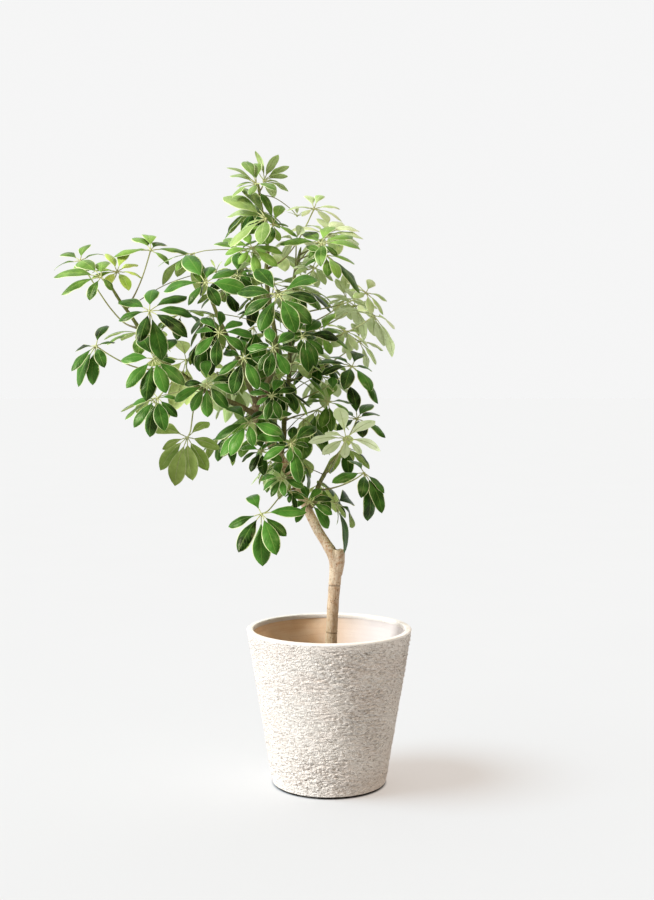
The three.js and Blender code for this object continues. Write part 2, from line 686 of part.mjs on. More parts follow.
// Where the tips of a leaf's leaflets lie: a tip that is seen gets the depth that puts it on the leaf's
// umbrella, and spokes are spread evenly around the hub, one in three hanging lowest.
function leafTips(leaf, hub, up) {
  const droop = leaf.droop ?? LEAF_DROOP;
  if (leaf.spokes) {
    const across = squareTo(FIRST_SPOKE, up);
    const over = new THREE.Vector3().crossVectors(up, across);
    return Array.from({ length: leaf.spokes }, (_, i) => {
      const turn = (i / leaf.spokes) * 2 * Math.PI;
      return hub
        .clone()
        .addScaledVector(across, leaf.reach * Math.cos(turn))
        .addScaledVector(over, leaf.reach * Math.sin(turn))
        .addScaledVector(up, -leaf.reach * (droop + SPOKE_DROOP_STEP * (i % 3)));
    });
  }
  return leaf.tips.map(([u, v]) => {
    const flat = seen(u, v, leaf.depth).sub(hub);
    const spare = Math.sqrt(Math.max(0, leaf.reach ** 2 - flat.lengthSq()));
    const wanted = (-droop * leaf.reach - flat.dot(up)) / up.y;
    return seen(u, v, leaf.depth + THREE.MathUtils.clamp(wanted, -spare, spare));
  });
}

// The leaflets that are not seen: one in each wide gap around the hub, as long as a neighbour or a little
// shorter, until the leaf has as many as the plant's leaves mostly have.
function addHiddenTips(tips, hub, up, leaf) {
  const droop = leaf.droop ?? LEAF_DROOP;
  const wanted = leaf.leaflets ?? USUAL_LEAFLETS;
  const across = squareTo(FIRST_SPOKE, up);
  const over = new THREE.Vector3().crossVectors(up, across);
  const turnOf = (tip) => {
    const arm = tip.clone().sub(hub);
    return Math.atan2(arm.dot(over), arm.dot(across));
  };
  const turns = tips.map(turnOf).sort((a, b) => a - b);
  const all = [...tips];
  while (all.length < wanted) {
    const gaps = turns.map((turn, i) => {
      const next = i + 1 < turns.length ? turns[i + 1] : turns[0] + 2 * Math.PI;
      return { turn, size: next - turn };
    });
    const widest = gaps.reduce((a, b) => (b.size > a.size ? b : a));
    if (widest.size < NARROWEST_GAP) break;
    const pieces = Math.max(2, Math.round(widest.size / SPOKE_ANGLE));
    const turn = widest.turn + widest.size / pieces;
    const length = leaf.reach * HIDDEN_REACH[all.length % HIDDEN_REACH.length];
    all.push(
      hub
        .clone()
        .addScaledVector(across, length * Math.cos(turn))
        .addScaledVector(over, length * Math.sin(turn))
        .addScaledVector(up, -length * droop),
    );
    turns.push(turn > Math.PI ? turn - 2 * Math.PI : turn);
    turns.sort((a, b) => a - b);
  }
  return all;
}

const DEPTH_MOVES = [0, -7, 7, -14, 14, -22, 22, -32, 32, -44, 44, -58, 58];
const TWISTS = [0, 0.3, -0.3, 0.6, -0.6];
const ARCHES = [LEAF_ARCH, 0.05, 0.24];
const LENGTHS = [1, 0.86];

// Tries the leaflet as read, then nearby depths, twists and arches, until it is clear of the rest.
function makeLeaflet(hub, tip, up, clear) {
  for (const share of LENGTHS) {
    for (const move of DEPTH_MOVES) {
      const moved = tip.clone();
      moved.y += move;
      const end = hub.clone().lerp(moved, share);
      const width = LEAF_WIDTH_SHARE * Math.max(end.distanceTo(hub), SHORTEST_FOR_WIDTH);
      for (const twist of TWISTS) {
        for (const arch of ARCHES) {
          const build = (from, extra) => leafletSolid(hub, end, up, width, twist, arch, from, extra);
          if (clear(build)) return build;
        }
      }
    }
  }
  return null;
}

// ---- The whole plant ----

const trunkCurve = routeOf(TRUNK);
const trunkRadii = TRUNK.map((row) => row[3]);

// The trunk with its cut stub; extra: added all round, for the hollow that it stands in.
function makeTrunk(extra) {
  const radii = trunkRadii.map((radius) => radius + extra);
  const stem = taperedTube(trunkCurve, radii, TRUNK_SIDES, TRUNK_RINGS);
  const stub = taperedTube(routeOf(TRUNK_STUB), TRUNK_STUB.map((row) => row[3]), TRUNK_SIDES, 1);
  return stem.add(stub);
}

function makeSoil(trunkHollow) {
  const wallInside = (z) => potRadius(z) - POT_WALL - GAP;
  const bottom = POT_FLOOR + GAP;
  const mound = SOIL_MOUND_STEPS.map(([out, up]) => [
    wallInside(SOIL_TOP) * out,
    SOIL_TOP + SOIL_MOUND * up,
  ]);
  const profile = [
    [0, bottom],
    [wallInside(POT_FLOOR) - SOIL_CORNER, bottom],
    [wallInside(POT_FLOOR) - SOIL_EDGE_GAP, POT_FLOOR + SOIL_CORNER],
    [wallInside(SOIL_TOP) - SOIL_EDGE_GAP, SOIL_TOP],
    ...mound,
    [0, SOIL_TOP + SOIL_MOUND],
  ];
  return lathed(profile, SOIL_SIDES).subtract(trunkHollow);
}

const obstacles = [];

// A piece that later pieces have to stay clear of.
function addObstacle(solid, owner) {
  obstacles.push({ solid, owner, box: solid.boundingBox() });
}

function isClear(solid, owner) {
  const box = solid.boundingBox();
  return !obstacles.some((o) => o.owner !== owner && boxesMeet(box, o.box) && meets(solid, o.solid));
}

const trunk = { solid: makeTrunk(0), curve: trunkCurve, radii: trunkRadii };
const pieces = { pot: makePot(), soil: makeSoil(makeTrunk(GAP)), trunk: trunk.solid };
const carriers = { trunk };
for (const [name, stem] of Object.entries(STEMS)) {
  carriers[name] = makeStem(carriers[stem.on], stem.route);
  pieces[name] = carriers[name].solid;
}
Object.entries(pieces).forEach(([name, solid]) => addObstacle(solid, name));

const hubBall = solidOf(new THREE.OctahedronGeometry(HUB_RADIUS));
const started = {};
for (const [name, leaf] of Object.entries(LEAVES)) {
  const hub = seen(leaf.hub[0], leaf.hub[1], leaf.depth);
  const up = new THREE.Vector3(...leaf.up).normalize();
  const seat = placeOnStem(carriers[leaf.on], leaf.from);
  const petiole = makePetiole(seat, hub, up, (solid) => isClear(solid, name));
  const core = petiole.add(hubBall.translate(hub.x, hub.y, hub.z));
  addObstacle(core, name);
  started[name] = { hub, up, core };
}

for (const [name, leaf] of Object.entries(LEAVES)) {
  const { hub, up, core } = started[name];
  let whole = core;
  const blades = [];
  const tips = leafTips(leaf, hub, up);
  const allTips = addHiddenTips(tips, hub, up, leaf);
  for (const [place, tip] of allTips.entries()) {
    const build = makeLeaflet(hub, tip, up, (candidate) => {
      const fat = candidate(0, LEAF_CLEARANCE);
      if (!isClear(fat, name)) return false;
      const blade = candidate(1, SIBLING_CLEARANCE);
      return !blades.some((other) => meets(blade, other));
    });
    if (!build) {
      if (place < tips.length) console.warn(name, 'has no room for a leaflet');
      continue;
    }
    const leaflet = build(0, 0);
    blades.push(build(1, 0));
    addObstacle(leaflet, name);
    whole = whole.add(leaflet);
  }
  pieces[name] = whole;
}

// ---- Colours ----

const COLOURS = {
  pot: { color: 0xe3dbcd, roughness: 0.95 },
  soil: { color: 0x4a3526, roughness: 1 },
  trunk: { color: 0xa98f6e, roughness: 0.85 },
  stem: { color: 0x4d5b2a, roughness: 0.6 },
  leaf: { color: 0x3f7a2c, roughness: 0.45 },
};

const plant = new THREE.Group();
for (const [name, solid] of Object.entries(pieces)) {
  const kind = name.split('_')[0];
  const material = new THREE.MeshStandardMaterial({ ...COLOURS[kind], metalness: 0 });
  const mesh = new THREE.Mesh(geometryOf(solid), material);
  mesh.name = name;
  plant.add(mesh);
}

export default plant;
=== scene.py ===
# %% [markdown]
# # A potted umbrella plant
# An umbrella plant is an assembly that grew: a bare trunk stands in potting soil in a clay pot, green
# stems leave the trunk, and each stem carries leaves. A leaf here is a whole hand of leaflets: a long thin
# stalk, a small knob at its end, and six to nine leaflets that hang from the knob like the cloth of an
# umbrella. The solids from the CAD step say where each of these pieces is. This lesson reads their places
# and dresses them: every piece gets a finer surface in the same place, and a finish of its own.

# %% Load the plant that was packed
import json
import math

import bpy
import numpy as np
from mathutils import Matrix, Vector, noise
from mathutils.bvhtree import BVHTree
from mathutils.kdtree import KDTree


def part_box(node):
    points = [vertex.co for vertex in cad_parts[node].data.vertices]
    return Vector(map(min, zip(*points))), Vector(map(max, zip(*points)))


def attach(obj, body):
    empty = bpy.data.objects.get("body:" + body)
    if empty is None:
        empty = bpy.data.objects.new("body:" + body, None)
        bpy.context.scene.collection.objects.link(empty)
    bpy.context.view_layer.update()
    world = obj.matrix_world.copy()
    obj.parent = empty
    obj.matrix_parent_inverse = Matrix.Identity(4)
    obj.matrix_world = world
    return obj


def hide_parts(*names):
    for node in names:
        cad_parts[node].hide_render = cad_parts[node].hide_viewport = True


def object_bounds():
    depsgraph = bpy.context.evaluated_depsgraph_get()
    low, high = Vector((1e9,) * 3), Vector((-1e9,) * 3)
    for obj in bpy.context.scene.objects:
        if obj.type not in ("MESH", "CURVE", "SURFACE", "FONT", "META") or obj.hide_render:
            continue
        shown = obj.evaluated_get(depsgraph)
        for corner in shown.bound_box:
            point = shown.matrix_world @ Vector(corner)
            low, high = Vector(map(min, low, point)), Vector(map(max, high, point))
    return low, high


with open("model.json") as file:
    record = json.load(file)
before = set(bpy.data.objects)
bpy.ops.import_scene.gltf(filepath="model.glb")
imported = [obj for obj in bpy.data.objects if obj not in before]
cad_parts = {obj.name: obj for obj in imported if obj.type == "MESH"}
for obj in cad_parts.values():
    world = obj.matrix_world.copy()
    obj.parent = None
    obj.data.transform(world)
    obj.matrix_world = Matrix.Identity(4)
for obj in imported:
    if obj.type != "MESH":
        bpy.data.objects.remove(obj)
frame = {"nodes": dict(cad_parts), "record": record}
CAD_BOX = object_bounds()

print("CAD nodes:", len(frame["nodes"]))
print("CAD box:", [round(x, 3) for corner in CAD_BOX for x in corner])

# %% [markdown]
# ## The eye
# The photograph was taken from in front of the pot, a little above its middle, with the camera tilted
# down by three degrees. A camera with a 50 mm lens on a 36 mm frame, two metres away, sees the pot's rim
# and foot where the photograph shows them. The same numbers let us turn a place in the picture into a
# place in the plant: a point that is seen at (right, down) lies on one line of sight, and its depth says
# where on that line.

# %% The camera, and places as it sees them
PICTURE_SIZE = (654, 900)
PICTURE_FOCAL = 1250.0
EYE = Vector((-0.0037, -2.104, 0.677))
EYE_TILT = math.radians(3)
TILT_COS, TILT_SIN = math.cos(EYE_TILT), math.sin(EYE_TILT)


def stand(name, data):
    """An object that holds this mesh, light or camera, in the scene."""
    holder = bpy.data.objects.new(name, data)
    bpy.context.scene.collection.objects.link(holder)
    return holder


camera = stand("eye", bpy.data.cameras.new("eye"))
camera.data.sensor_width = 36
camera.data.lens = 36 * PICTURE_FOCAL / PICTURE_SIZE[1]
camera.location = EYE
camera.rotation_euler = (math.pi / 2 - EYE_TILT, 0, 0)
bpy.context.scene.camera = camera


def seen(u, v, depth):
    """The point that the eye sees u to the right and v down, depth millimetres behind the pot's axis."""
    right = (u - PICTURE_SIZE[0] / 2) / PICTURE_FOCAL
    rise = (PICTURE_SIZE[1] / 2 - v) / PICTURE_FOCAL
    sight = Vector((right, TILT_COS + rise * TILT_SIN, rise * TILT_COS - TILT_SIN))
    return EYE + sight * ((depth / 1000 - EYE.y) / sight.y)


def picture_place(point):
    """Where the eye sees a point: (right, down)."""
    arm = Vector(point) - EYE
    scale = PICTURE_FOCAL / (arm.y * TILT_COS - arm.z * TILT_SIN)
    above = arm.y * TILT_SIN + arm.z * TILT_COS
    return PICTURE_SIZE[0] / 2 + scale * arm.x, PICTURE_SIZE[1] / 2 - scale * above


print("lens:", round(camera.data.lens, 2), "mm; the pot's axis at the rim is seen at",
      [round(x) for x in picture_place((0, 0, 0.265))])

# %% [markdown]
# ## Small helpers for finishes
# A finish is a Principled shader whose colour, roughness and bump come from patterns. Writing node trees
# out by hand is long, so a small helper adds a node, sets its inputs and returns its output. The patterns
# read two things: the point's place on the plant, in metres, and numbers that each piece stores on its
# points, such as how far along a stalk the point is. A colour is built up as on a real object, coat over
# coat: each coat has a share, which says where it covers, and a paint.

# %% Node helpers
class Nodes:
    """A node tree being written: each call adds a node and returns its output."""

    def __init__(self, tree):
        self.tree = tree

    def put(self, value, socket):
        if isinstance(value, bpy.types.NodeSocket):
            self.tree.links.new(value, socket)
        else:
            socket.default_value = value

    def node(self, kind, inputs=(), output=0, **settings):
        made = self.tree.nodes.new("ShaderNode" + kind)
        for key, value in settings.items():
            setattr(made, key, value)
        for key, value in dict(inputs).items():
            self.put(value, made.inputs[key])
        return made.outputs[output]

    def place(self, scale):
        """The point's place and a scale for a pattern. Three numbers stretch the place instead."""
        place = self.node("TexCoord", output="Object")
        if isinstance(scale, tuple):
            place, scale = self.node("VectorMath", {0: place, 1: scale}, operation="MULTIPLY"), 1.0
        return {"Vector": place, "Scale": scale}

    def grain(self, scale, detail=2.0, rough=0.5):
        return self.node("TexNoise", {**self.place(scale), "Detail": detail, "Roughness": rough})

    def cells(self, scale):
        return self.node("TexVoronoi", self.place(scale))

    def stored(self, name):
        return self.node("Attribute", output="Fac", attribute_name=name)

    def math(self, kind, a, b=0.0, clamp=False):
        return self.node("Math", {0: a, 1: b}, operation=kind, use_clamp=clamp)

    def plus(self, a, b, clamp=False):
        return self.math("ADD", a, b, clamp)

    def minus(self, a, b):
        return self.math("SUBTRACT", a, b)

    def times(self, a, b):
        return self.math("MULTIPLY", a, b)

    def step(self, value, low, high, to_low=0.0, to_high=1.0):
        """A soft step: to_low where the value is below low, to_high where it is above high."""
        limits = {"From Min": low, "From Max": high, "To Min": to_low, "To Max": to_high}
        return self.node("MapRange", {"Value": value, **limits}, interpolation_type="SMOOTHSTEP")

    def blend(self, share, a, b):
        made = self.tree.nodes.new("ShaderNodeMix")
        made.data_type = "RGBA"
        self.put(share, made.inputs["Factor"])
        for socket, value in ((made.inputs[6], a), (made.inputs[7], b)):
            self.put((*value, 1) if isinstance(value, tuple) else value, socket)
        return made.outputs[2]


print("node helpers:", [name for name in vars(Nodes) if not name.startswith("_")])

# %% Paints and coats
def srgb(red, green, blue):
    """A colour as a paint chart gives it, 0 to 255, turned into the amount of light it returns."""
    return tuple(
        c / 12.92 if c <= 0.04045 else ((c + 0.055) / 1.055) ** 2.4
        for c in (red / 255, green / 255, blue / 255)
    )


class Finish(Nodes):
    """A material being made: its nodes, and the shader at its end."""

    def __init__(self, name, roughness, specular):
        self.material = bpy.data.materials.new(name)
        self.material.use_nodes = True
        super().__init__(self.material.node_tree)
        self.sockets = self.tree.nodes["Principled BSDF"].inputs
        self.sockets["Roughness"].default_value = roughness
        self.sockets["Specular IOR Level"].default_value = specular

    def paints(self, share, a, b):
        """Two paints mixed. A share may be a step's numbers, and a paint its numbers on the chart."""
        share = self.step(*share) if isinstance(share, tuple) else share
        return self.blend(share, *(srgb(*paint) if isinstance(paint, tuple) else paint for paint in (a, b)))

    def coat(self, colour, *coats):
        """The shader's colour: a ground and the coats over it, each a share and a paint."""
        for share, paint in coats:
            colour = self.paints(share, colour, paint)
        self.put(colour, self.sockets["Base Color"])

    def relief(self, height, strength, depth):
        bump = self.node("Bump", {"Height": height, "Strength": strength, "Distance": depth})
        self.put(bump, self.sockets["Normal"])


print("helpers ready; mid grey on the chart returns", round(srgb(128, 128, 128)[0], 3), "of the light")

# %% [markdown]
# ## Light and floor
# The plant stands on a plain pale floor in a bright studio. The left of the pot is almost white and its
# right is beige, and the pot's shadow lies on the right and a little behind it. So the main light is
# broad, hangs on the left and a little in front, and stands thirty degrees high, so it rakes the pot from
# the side and shows its grain in the middle but not on the left. A sun with a wide disc gives such a
# light, and it lights the floor evenly out to the horizon, so floor and background meet without a line.
#
# In the studio the lamp hangs near, so the crown's shadow falls far to the right, outside the picture. A
# sun can't do that. So there are two: the first lights the plant and leaves the floor out, and the second
# is steeper, lights only the floor and is stopped only by pot and trunk. A weak warm lamp high on the
# right brings out the pot's ridges on its dark side.
#
# The room glows white. In front and on the right it is dark and warm, because no window is there, but the
# backdrop that we see is the same pale one all round. The floor glows too, as a lit studio table does: this
# glow is painted light that keeps the shadow on it light and warm. Under the pot it doesn't glow, which
# paints a dark contact shade round the foot.

# %% The three lights
# Each light's heading over the floor, its height and the width of its disc in degrees, strength, colour.
LIGHTS = {
    "right_light": ((-0.66, 0.75, 0), 57, 14, 1.05, (1.0, 0.84, 0.68)),
    "broad_light": ((0.93, 0.37, 0), 30, 18, 4.1, (0.97, 1.0, 1.02)),
    "floor_light": ((0.98, 0.2, 0), 51, 32, 2.85, (0.663, 0.857, 1.0)),
}


def add_sun(name, heading, height, disc, strength, colour):
    sun = bpy.data.lights.new(name, "SUN")
    sun.energy = strength
    sun.angle = math.radians(disc)
    sun.color = colour
    height = math.radians(height)
    beam = Vector(heading).normalized() * math.cos(height) - Vector((0, 0, math.sin(height)))
    holder = stand(name, sun)
    holder.rotation_euler = beam.to_track_quat("-Z", "Y").to_euler()
    return holder.light_linking


def group_of(name, *pieces):
    """A collection that tells a light which pieces it lights, or which ones stop it."""
    group = bpy.data.collections.new(name)
    for piece in pieces:
        group.objects.link(piece)
    return group


right_reach, plant_reach, floor_reach = (add_sun(name, *light) for name, light in LIGHTS.items())
print("main light stands", LIGHTS["broad_light"][1], "degrees high")

# %% The floor and the glow of the room
FLOOR_HALF = 60.0
FLOOR_GREY = ((0.385,) * 3, (0.395,) * 3)
FLOOR_GLOW = (0.489, 0.443, 0.405)
# Radii over which the floor's glow comes back round the pot: under it the floor is painted dark, as painted
# contact shade.
CONTACT_SHADE_RANGE = (0.093, 0.1)
GLOW_BRIGHT = (0.918, 0.918, 0.918)
GLOW_DIM = (0.145, 0.105, 0.072)
DIM_SIDE = Vector((0.72, -0.69, -0.12)).normalized()
DIM_RANGE = (-0.3, 0.45)

floor_mesh = bpy.data.meshes.new("floor")
floor_corners = [(x * FLOOR_HALF, y * FLOOR_HALF, 0) for x, y in ((-1, -1), (1, -1), (1, 1), (-1, 1))]
floor_mesh.from_pydata(floor_corners, [], [(0, 1, 2, 3)])
floor = stand("floor", floor_mesh)
floor_finish = Finish("floor_finish", 0.8, 0.0)
floor_finish.coat(floor_finish.blend(floor_finish.grain(3.0), *FLOOR_GREY))
from_axis = floor_finish.node(
    "VectorMath", {0: floor_finish.place(1.0)["Vector"]}, output=1, operation="LENGTH"
)
# The floor's glow is painted light that lifts its shadow; it stops under the pot, which paints contact shade.
floor_finish.sockets["Emission Color"].default_value = (*FLOOR_GLOW, 1)
floor_finish.put(floor_finish.step(from_axis, *CONTACT_SHADE_RANGE), floor_finish.sockets["Emission Strength"])
floor_mesh.materials.append(floor_finish.material)

all_but_floor = group_of("all_but_floor", floor)
all_but_floor.collection_objects[0].light_linking.link_state = "EXCLUDE"
plant_reach.receiver_collection = right_reach.receiver_collection = all_but_floor
floor_reach.receiver_collection = group_of("floor_alone", floor)
shadow_makers = floor_reach.blocker_collection = group_of("shadow_makers")

room = bpy.data.worlds.new("white_room")
room.use_nodes = True
glow = Nodes(room.node_tree)
facing = glow.node("TexCoord", output="Generated")
toward = glow.node("VectorMath", {0: facing, 1: DIM_SIDE}, output="Value", operation="DOT_PRODUCT")
dimmed = glow.blend(glow.step(toward, *DIM_RANGE), GLOW_BRIGHT, GLOW_DIM)
backdrop = glow.blend(glow.node("LightPath", output="Is Camera Ray"), dimmed, GLOW_BRIGHT)
glow.put(backdrop, room.node_tree.nodes["Background"].inputs["Color"])
bpy.context.scene.world = room
bpy.context.scene.view_settings.view_transform = "Standard"
print("floor:", 2 * FLOOR_HALF, "m wide; it glows from", CONTACT_SHADE_RANGE[0], "m off the pot's axis")

# %% [markdown]
# ## Building a piece
# All surfaces below are made of rings or sheets of points, so one small class gathers them: it takes
# points, faces, the finish of each face and the numbers stored on each point, and makes one Blender mesh.
# Edges where two finishes meet are marked sharp, so that a thin leaf keeps a crisp margin.

# %% Small helpers for points and lines
def unit(vector):
    return vector / max(np.linalg.norm(vector), 1e-12)


def circle(radius, count, height=0.0):
    """Points on a level circle round the z axis, as seen from above against the clock."""
    turns = np.arange(count) / count * 2 * math.pi
    return np.stack([radius * np.cos(turns), radius * np.sin(turns), np.full(count, height)], 1)


def bell(apart, width):
    """1 where apart is zero, fading out over the width."""
    return np.exp(-((apart / width) ** 2))


def headings(path):
    """The direction of a path at each of its points."""
    steps = np.gradient(path, axis=0)
    return steps / np.linalg.norm(steps, axis=1, keepdims=True)


def lengths_along(path):
    """How long the path is up to each of its points."""
    return np.concatenate([[0], np.cumsum(np.linalg.norm(np.diff(path, axis=0), axis=1))])


def smooth_path(points, count):
    """A smooth line through the points, as count points at equal steps of the line's own measure."""
    points = np.asarray(points, float)
    ends = np.concatenate([[2 * points[0] - points[1]], points, [2 * points[-1] - points[-2]]])
    places = np.linspace(0, len(points) - 1, count)
    first = np.minimum(places.astype(int), len(points) - 2)
    t = (places - first)[:, None]
    a, b, c, d = (ends[first + k] for k in range(4))
    return 0.5 * (2 * b + (c - a) * t + (2 * a - 5 * b + 4 * c - d) * t**2 + (3 * b - a - 3 * c + d) * t**3)


def random_for(name, extra=0):
    """A random source that is the same for the same piece in every run."""
    return np.random.default_rng([extra, *name.encode()])


print("a smooth line through three points:", smooth_path([(0, 0, 0), (1, 1, 0), (2, 0, 0)], 5)[:, 1].round(2))

# %% A shape that gathers rings and sheets
class Shape:
    def __init__(self):
        self.points = []
        self.faces = []
        self.finish = []
        self.stores = {"along": [], "across": [], "tone": []}

    def add_points(self, points, along=0.0, across=0.0, tone=0.5):
        start = len(self.points)
        points = np.asarray(points, float).reshape(-1, 3)
        self.points.extend(map(tuple, points))
        for name, value in (("along", along), ("across", across), ("tone", tone)):
            values = np.broadcast_to(np.asarray(value, float).ravel(), len(points))
            self.stores[name].extend(values.tolist())
        return start

    def add_face(self, corners, finish=0):
        self.faces.append(tuple(corners))
        self.finish.append(finish)

    def join_rings(self, start, count, sides, finish=0):
        """Faces between rings, and one over each end. The finish may be given for each step."""
        finish = np.broadcast_to(finish, count - 1).tolist()
        for i in range(count - 1):
            here = start + i * sides
            for j in range(sides):
                k = (j + 1) % sides
                self.add_face((here + j, here + k, here + sides + k, here + sides + j), finish[i])
        last = start + (count - 1) * sides
        self.add_face([start + j for j in reversed(range(sides))], finish[0])
        self.add_face([last + j for j in range(sides)], finish[-1])

    def tube(self, path, radii, sides, along=None, tone=0.5, finish=0):
        """A tube along the path, closed at both ends."""
        path = np.asarray(path, float)
        count = len(path)
        tangents = headings(path)
        normal = np.cross(tangents[0], (0.31, 0.52, 0.79))
        ring = circle(1, sides)[:, :2]
        rings = []
        for point, tangent, radius in zip(path, tangents, np.broadcast_to(radii, count)):
            normal = unit(normal - tangent * normal.dot(tangent))
            rings.append(point + radius * ring @ np.array([normal, np.cross(tangent, normal)]))
        along = np.linspace(0, 1, count) if along is None else np.broadcast_to(along, count)
        start = self.add_points(rings, along=np.repeat(along, sides), tone=tone)
        self.join_rings(start, count, sides, finish)

    def make(self, name, finishes):
        mesh = bpy.data.meshes.new(name)
        mesh.from_pydata(self.points, [], self.faces)
        for finish in finishes:
            mesh.materials.append(finish.material)
        mesh.polygons.foreach_set("material_index", self.finish)
        mesh.polygons.foreach_set("use_smooth", [True] * len(self.faces))
        for key, values in self.stores.items():
            store(mesh, key, values)
        self.mark_margins(mesh)
        return stand(name, mesh)

    def mark_margins(self, mesh):
        """Edges between faces of different finishes are sharp."""
        sides = {}
        for face, kind in zip(self.faces, self.finish):
            for a, b in zip(face, face[1:] + face[:1]):
                sides.setdefault((min(a, b), max(a, b)), set()).add(kind)
        pairs = np.zeros(len(mesh.edges) * 2, np.int64)
        mesh.edges.foreach_get("vertices", pairs)
        sharp = [len(sides.get((min(pair), max(pair)), ())) > 1 for pair in pairs.reshape(-1, 2).tolist()]
        mesh.attributes.new("sharp_edge", "BOOLEAN", "EDGE").data.foreach_set("value", sharp)


print("a shape stores", list(Shape().stores))

# %% Numbers on points, and dressing a piece
def store(mesh, name, values):
    mesh.attributes.new(name, "FLOAT", "POINT").data.foreach_set("value", np.asarray(values, np.float32))


def point_values(mesh, what="co"):
    """The places or the normals of a mesh's points."""
    values = np.zeros(len(mesh.vertices) * 3)
    mesh.vertices.foreach_get(what, values)
    return values.reshape(-1, 3)


def dress(piece, nodes, slot):
    """The piece rides with the plant and stands for these CAD nodes, which it hides. The slot is not used."""
    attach(piece, "root")
    if nodes:
        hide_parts(*nodes)
    return piece


SLOT_OF = {part["node"]: part["material_slot"] for part in frame["record"]["subparts"]}
print("slots:", sorted(set(SLOT_OF.values())))

# %% [markdown]
# ## Reading the leaves
# Each leaf came from the CAD step as one plain solid: a four-sided stalk, an eight-sided knob, and
# leaflets with three corners to a section. A leaflet ends in a point that has just three neighbours. From
# there we can walk back over its three sections to its stalk, and that gives all we need to grow a real
# leaflet in the same place: its hub, its tip, the arch between them, its width and its upper side. The
# points of a stalk lie on small squares, each nearer to the others of its square than to anything else.

# %% Read a CAD solid as points and neighbours
HUB_RADIUS = 0.0044
STALK_SIDES = 4
SECTIONS = 3
SECTION_CORNERS = 3
SHORTEST_LEAFLET = 0.015
RING_TOLERANCE = 3e-5
HUB_TOLERANCE = 2e-5


def solid_of(node):
    """The CAD node's points, each once, and the set of neighbours of each."""
    mesh = frame["nodes"][node].data
    points = point_values(mesh)
    _, first, same = np.unique(np.round(points, 6), axis=0, return_index=True, return_inverse=True)
    same = same.ravel()
    neighbours = [set() for _ in first]
    for face in mesh.polygons:
        corners = [same[i] for i in face.vertices]
        for a in corners:
            neighbours[a].update(b for b in corners if b != a)
    return points[first], neighbours


def find_hub(points):
    """The middle of the knob: the place that most points lie exactly one knob radius from, along an axis."""
    arms = np.concatenate([np.eye(3), -np.eye(3)]) * HUB_RADIUS
    guesses = (points[:, None] + arms[None]).reshape(-1, 3)
    votes = [int((np.linalg.norm(guesses - guess, axis=1) < HUB_TOLERANCE).sum()) for guess in guesses]
    return guesses[np.argmax(votes)], max(votes)


def read_leaflets(points, neighbours, hub):
    """For each leaflet: its tip and its sections, from the tip back to its stalk."""
    found = []
    far = np.linalg.norm(points - hub, axis=1)
    for tip, around in enumerate(neighbours):
        is_end = len(around) == SECTION_CORNERS and far[tip] >= max(far[list(around)])
        if not is_end or far[tip] < SHORTEST_LEAFLET:
            continue
        rings = [around]
        known = {tip} | around
        while len(rings) < SECTIONS:
            ring = set().union(*(neighbours[i] for i in rings[-1])) - known
            if len(ring) != SECTION_CORNERS:
                break
            known |= ring
            rings.append(ring)
        if len(rings) == SECTIONS:
            found.append((tip, [sorted(ring) for ring in rings]))
    return found


def read_rings(points, size, start):
    """The middles and radii of a tube's rings, which have this many points, in order from a place."""
    apart = np.linalg.norm(points[:, None] - points[None], axis=2)
    groups = [frozenset(row[:size].tolist()) for row in np.argsort(apart, axis=1)]
    rings = []
    for group in sorted({g for g in groups if groups.count(g) == size}, key=sorted):
        corners = points[list(group)]
        middle = corners.mean(0)
        radii = np.linalg.norm(corners - middle, axis=1)
        if np.ptp(radii) < RING_TOLERANCE:
            rings.append((middle, radii.mean()))
    ordered = []
    while rings:
        rings.sort(key=lambda ring: np.linalg.norm(ring[0] - start))
        ordered.append(rings.pop(0))
        start = ordered[-1][0]
    return ordered


print("a knob in CAD is", 2000 * HUB_RADIUS, "mm wide")

# %% Read every leaf
READ = {}
for node in sorted(n for n in frame["nodes"] if n.startswith("leaf_")):
    points, neighbours = solid_of(node)
    hub, votes = find_hub(points)
    found = read_leaflets(points, neighbours, hub)
    taken = {i for tip, rings in found for i in (tip, *sum(rings, []))}
    clear = np.linalg.norm(points - hub, axis=1) > HUB_RADIUS * 1.03
    free = [i for i in range(len(points)) if i not in taken and clear[i]]
    leaflets = [(points[tip], [points[ring] for ring in rings]) for tip, rings in found]
    stalk_rings = read_rings(points[free], STALK_SIDES, hub)
    READ[node] = {"hub": hub, "leaflets": leaflets, "stalk": stalk_rings[::-1]}
    if votes < 2 or len(leaflets) < 3 or len(stalk_rings) < 3:
        print("look at", node, "votes", votes, "leaflets", len(leaflets), "rings", len(stalk_rings))
print("leaves:", len(READ), "with leaflets:", sum(len(leaf["leaflets"]) for leaf in READ.values()))

# %% [markdown]
# ## What a leaflet looks like
# A grown leaflet is a long ellipse that is widest past its middle, narrows in a wedge to its little stalk
# and ends in a short point. It is creased a little along the midrib, its margins wave and bend down, and
# its tip hangs, each leaflet's by another amount. The upper side is waxy and deep green with a fine pale
# margin, and the underside is matt and pale. We make the two sides as two sheets of points that share
# their margin, so the blade is closed and has a real thickness. The midrib is a thin tube that starts as
# the leaflet's stalk and runs out under the blade.

# %% The line of a blade
BLADE_START = 0.2
BLADE_STEPS = 13
BLADE_COLUMNS = 9
BLADE_THICKNESS = 0.0005
STALK_RADIUS = 0.0009
OUTLINE_PLACES = (0, 0.07, 0.18, 0.32, 0.46, 0.6, 0.73, 0.84, 0.93, 1)
OUTLINE_WIDTHS = (0.06, 0.2, 0.48, 0.79, 0.96, 1.0, 0.9, 0.7, 0.4, 0.0)
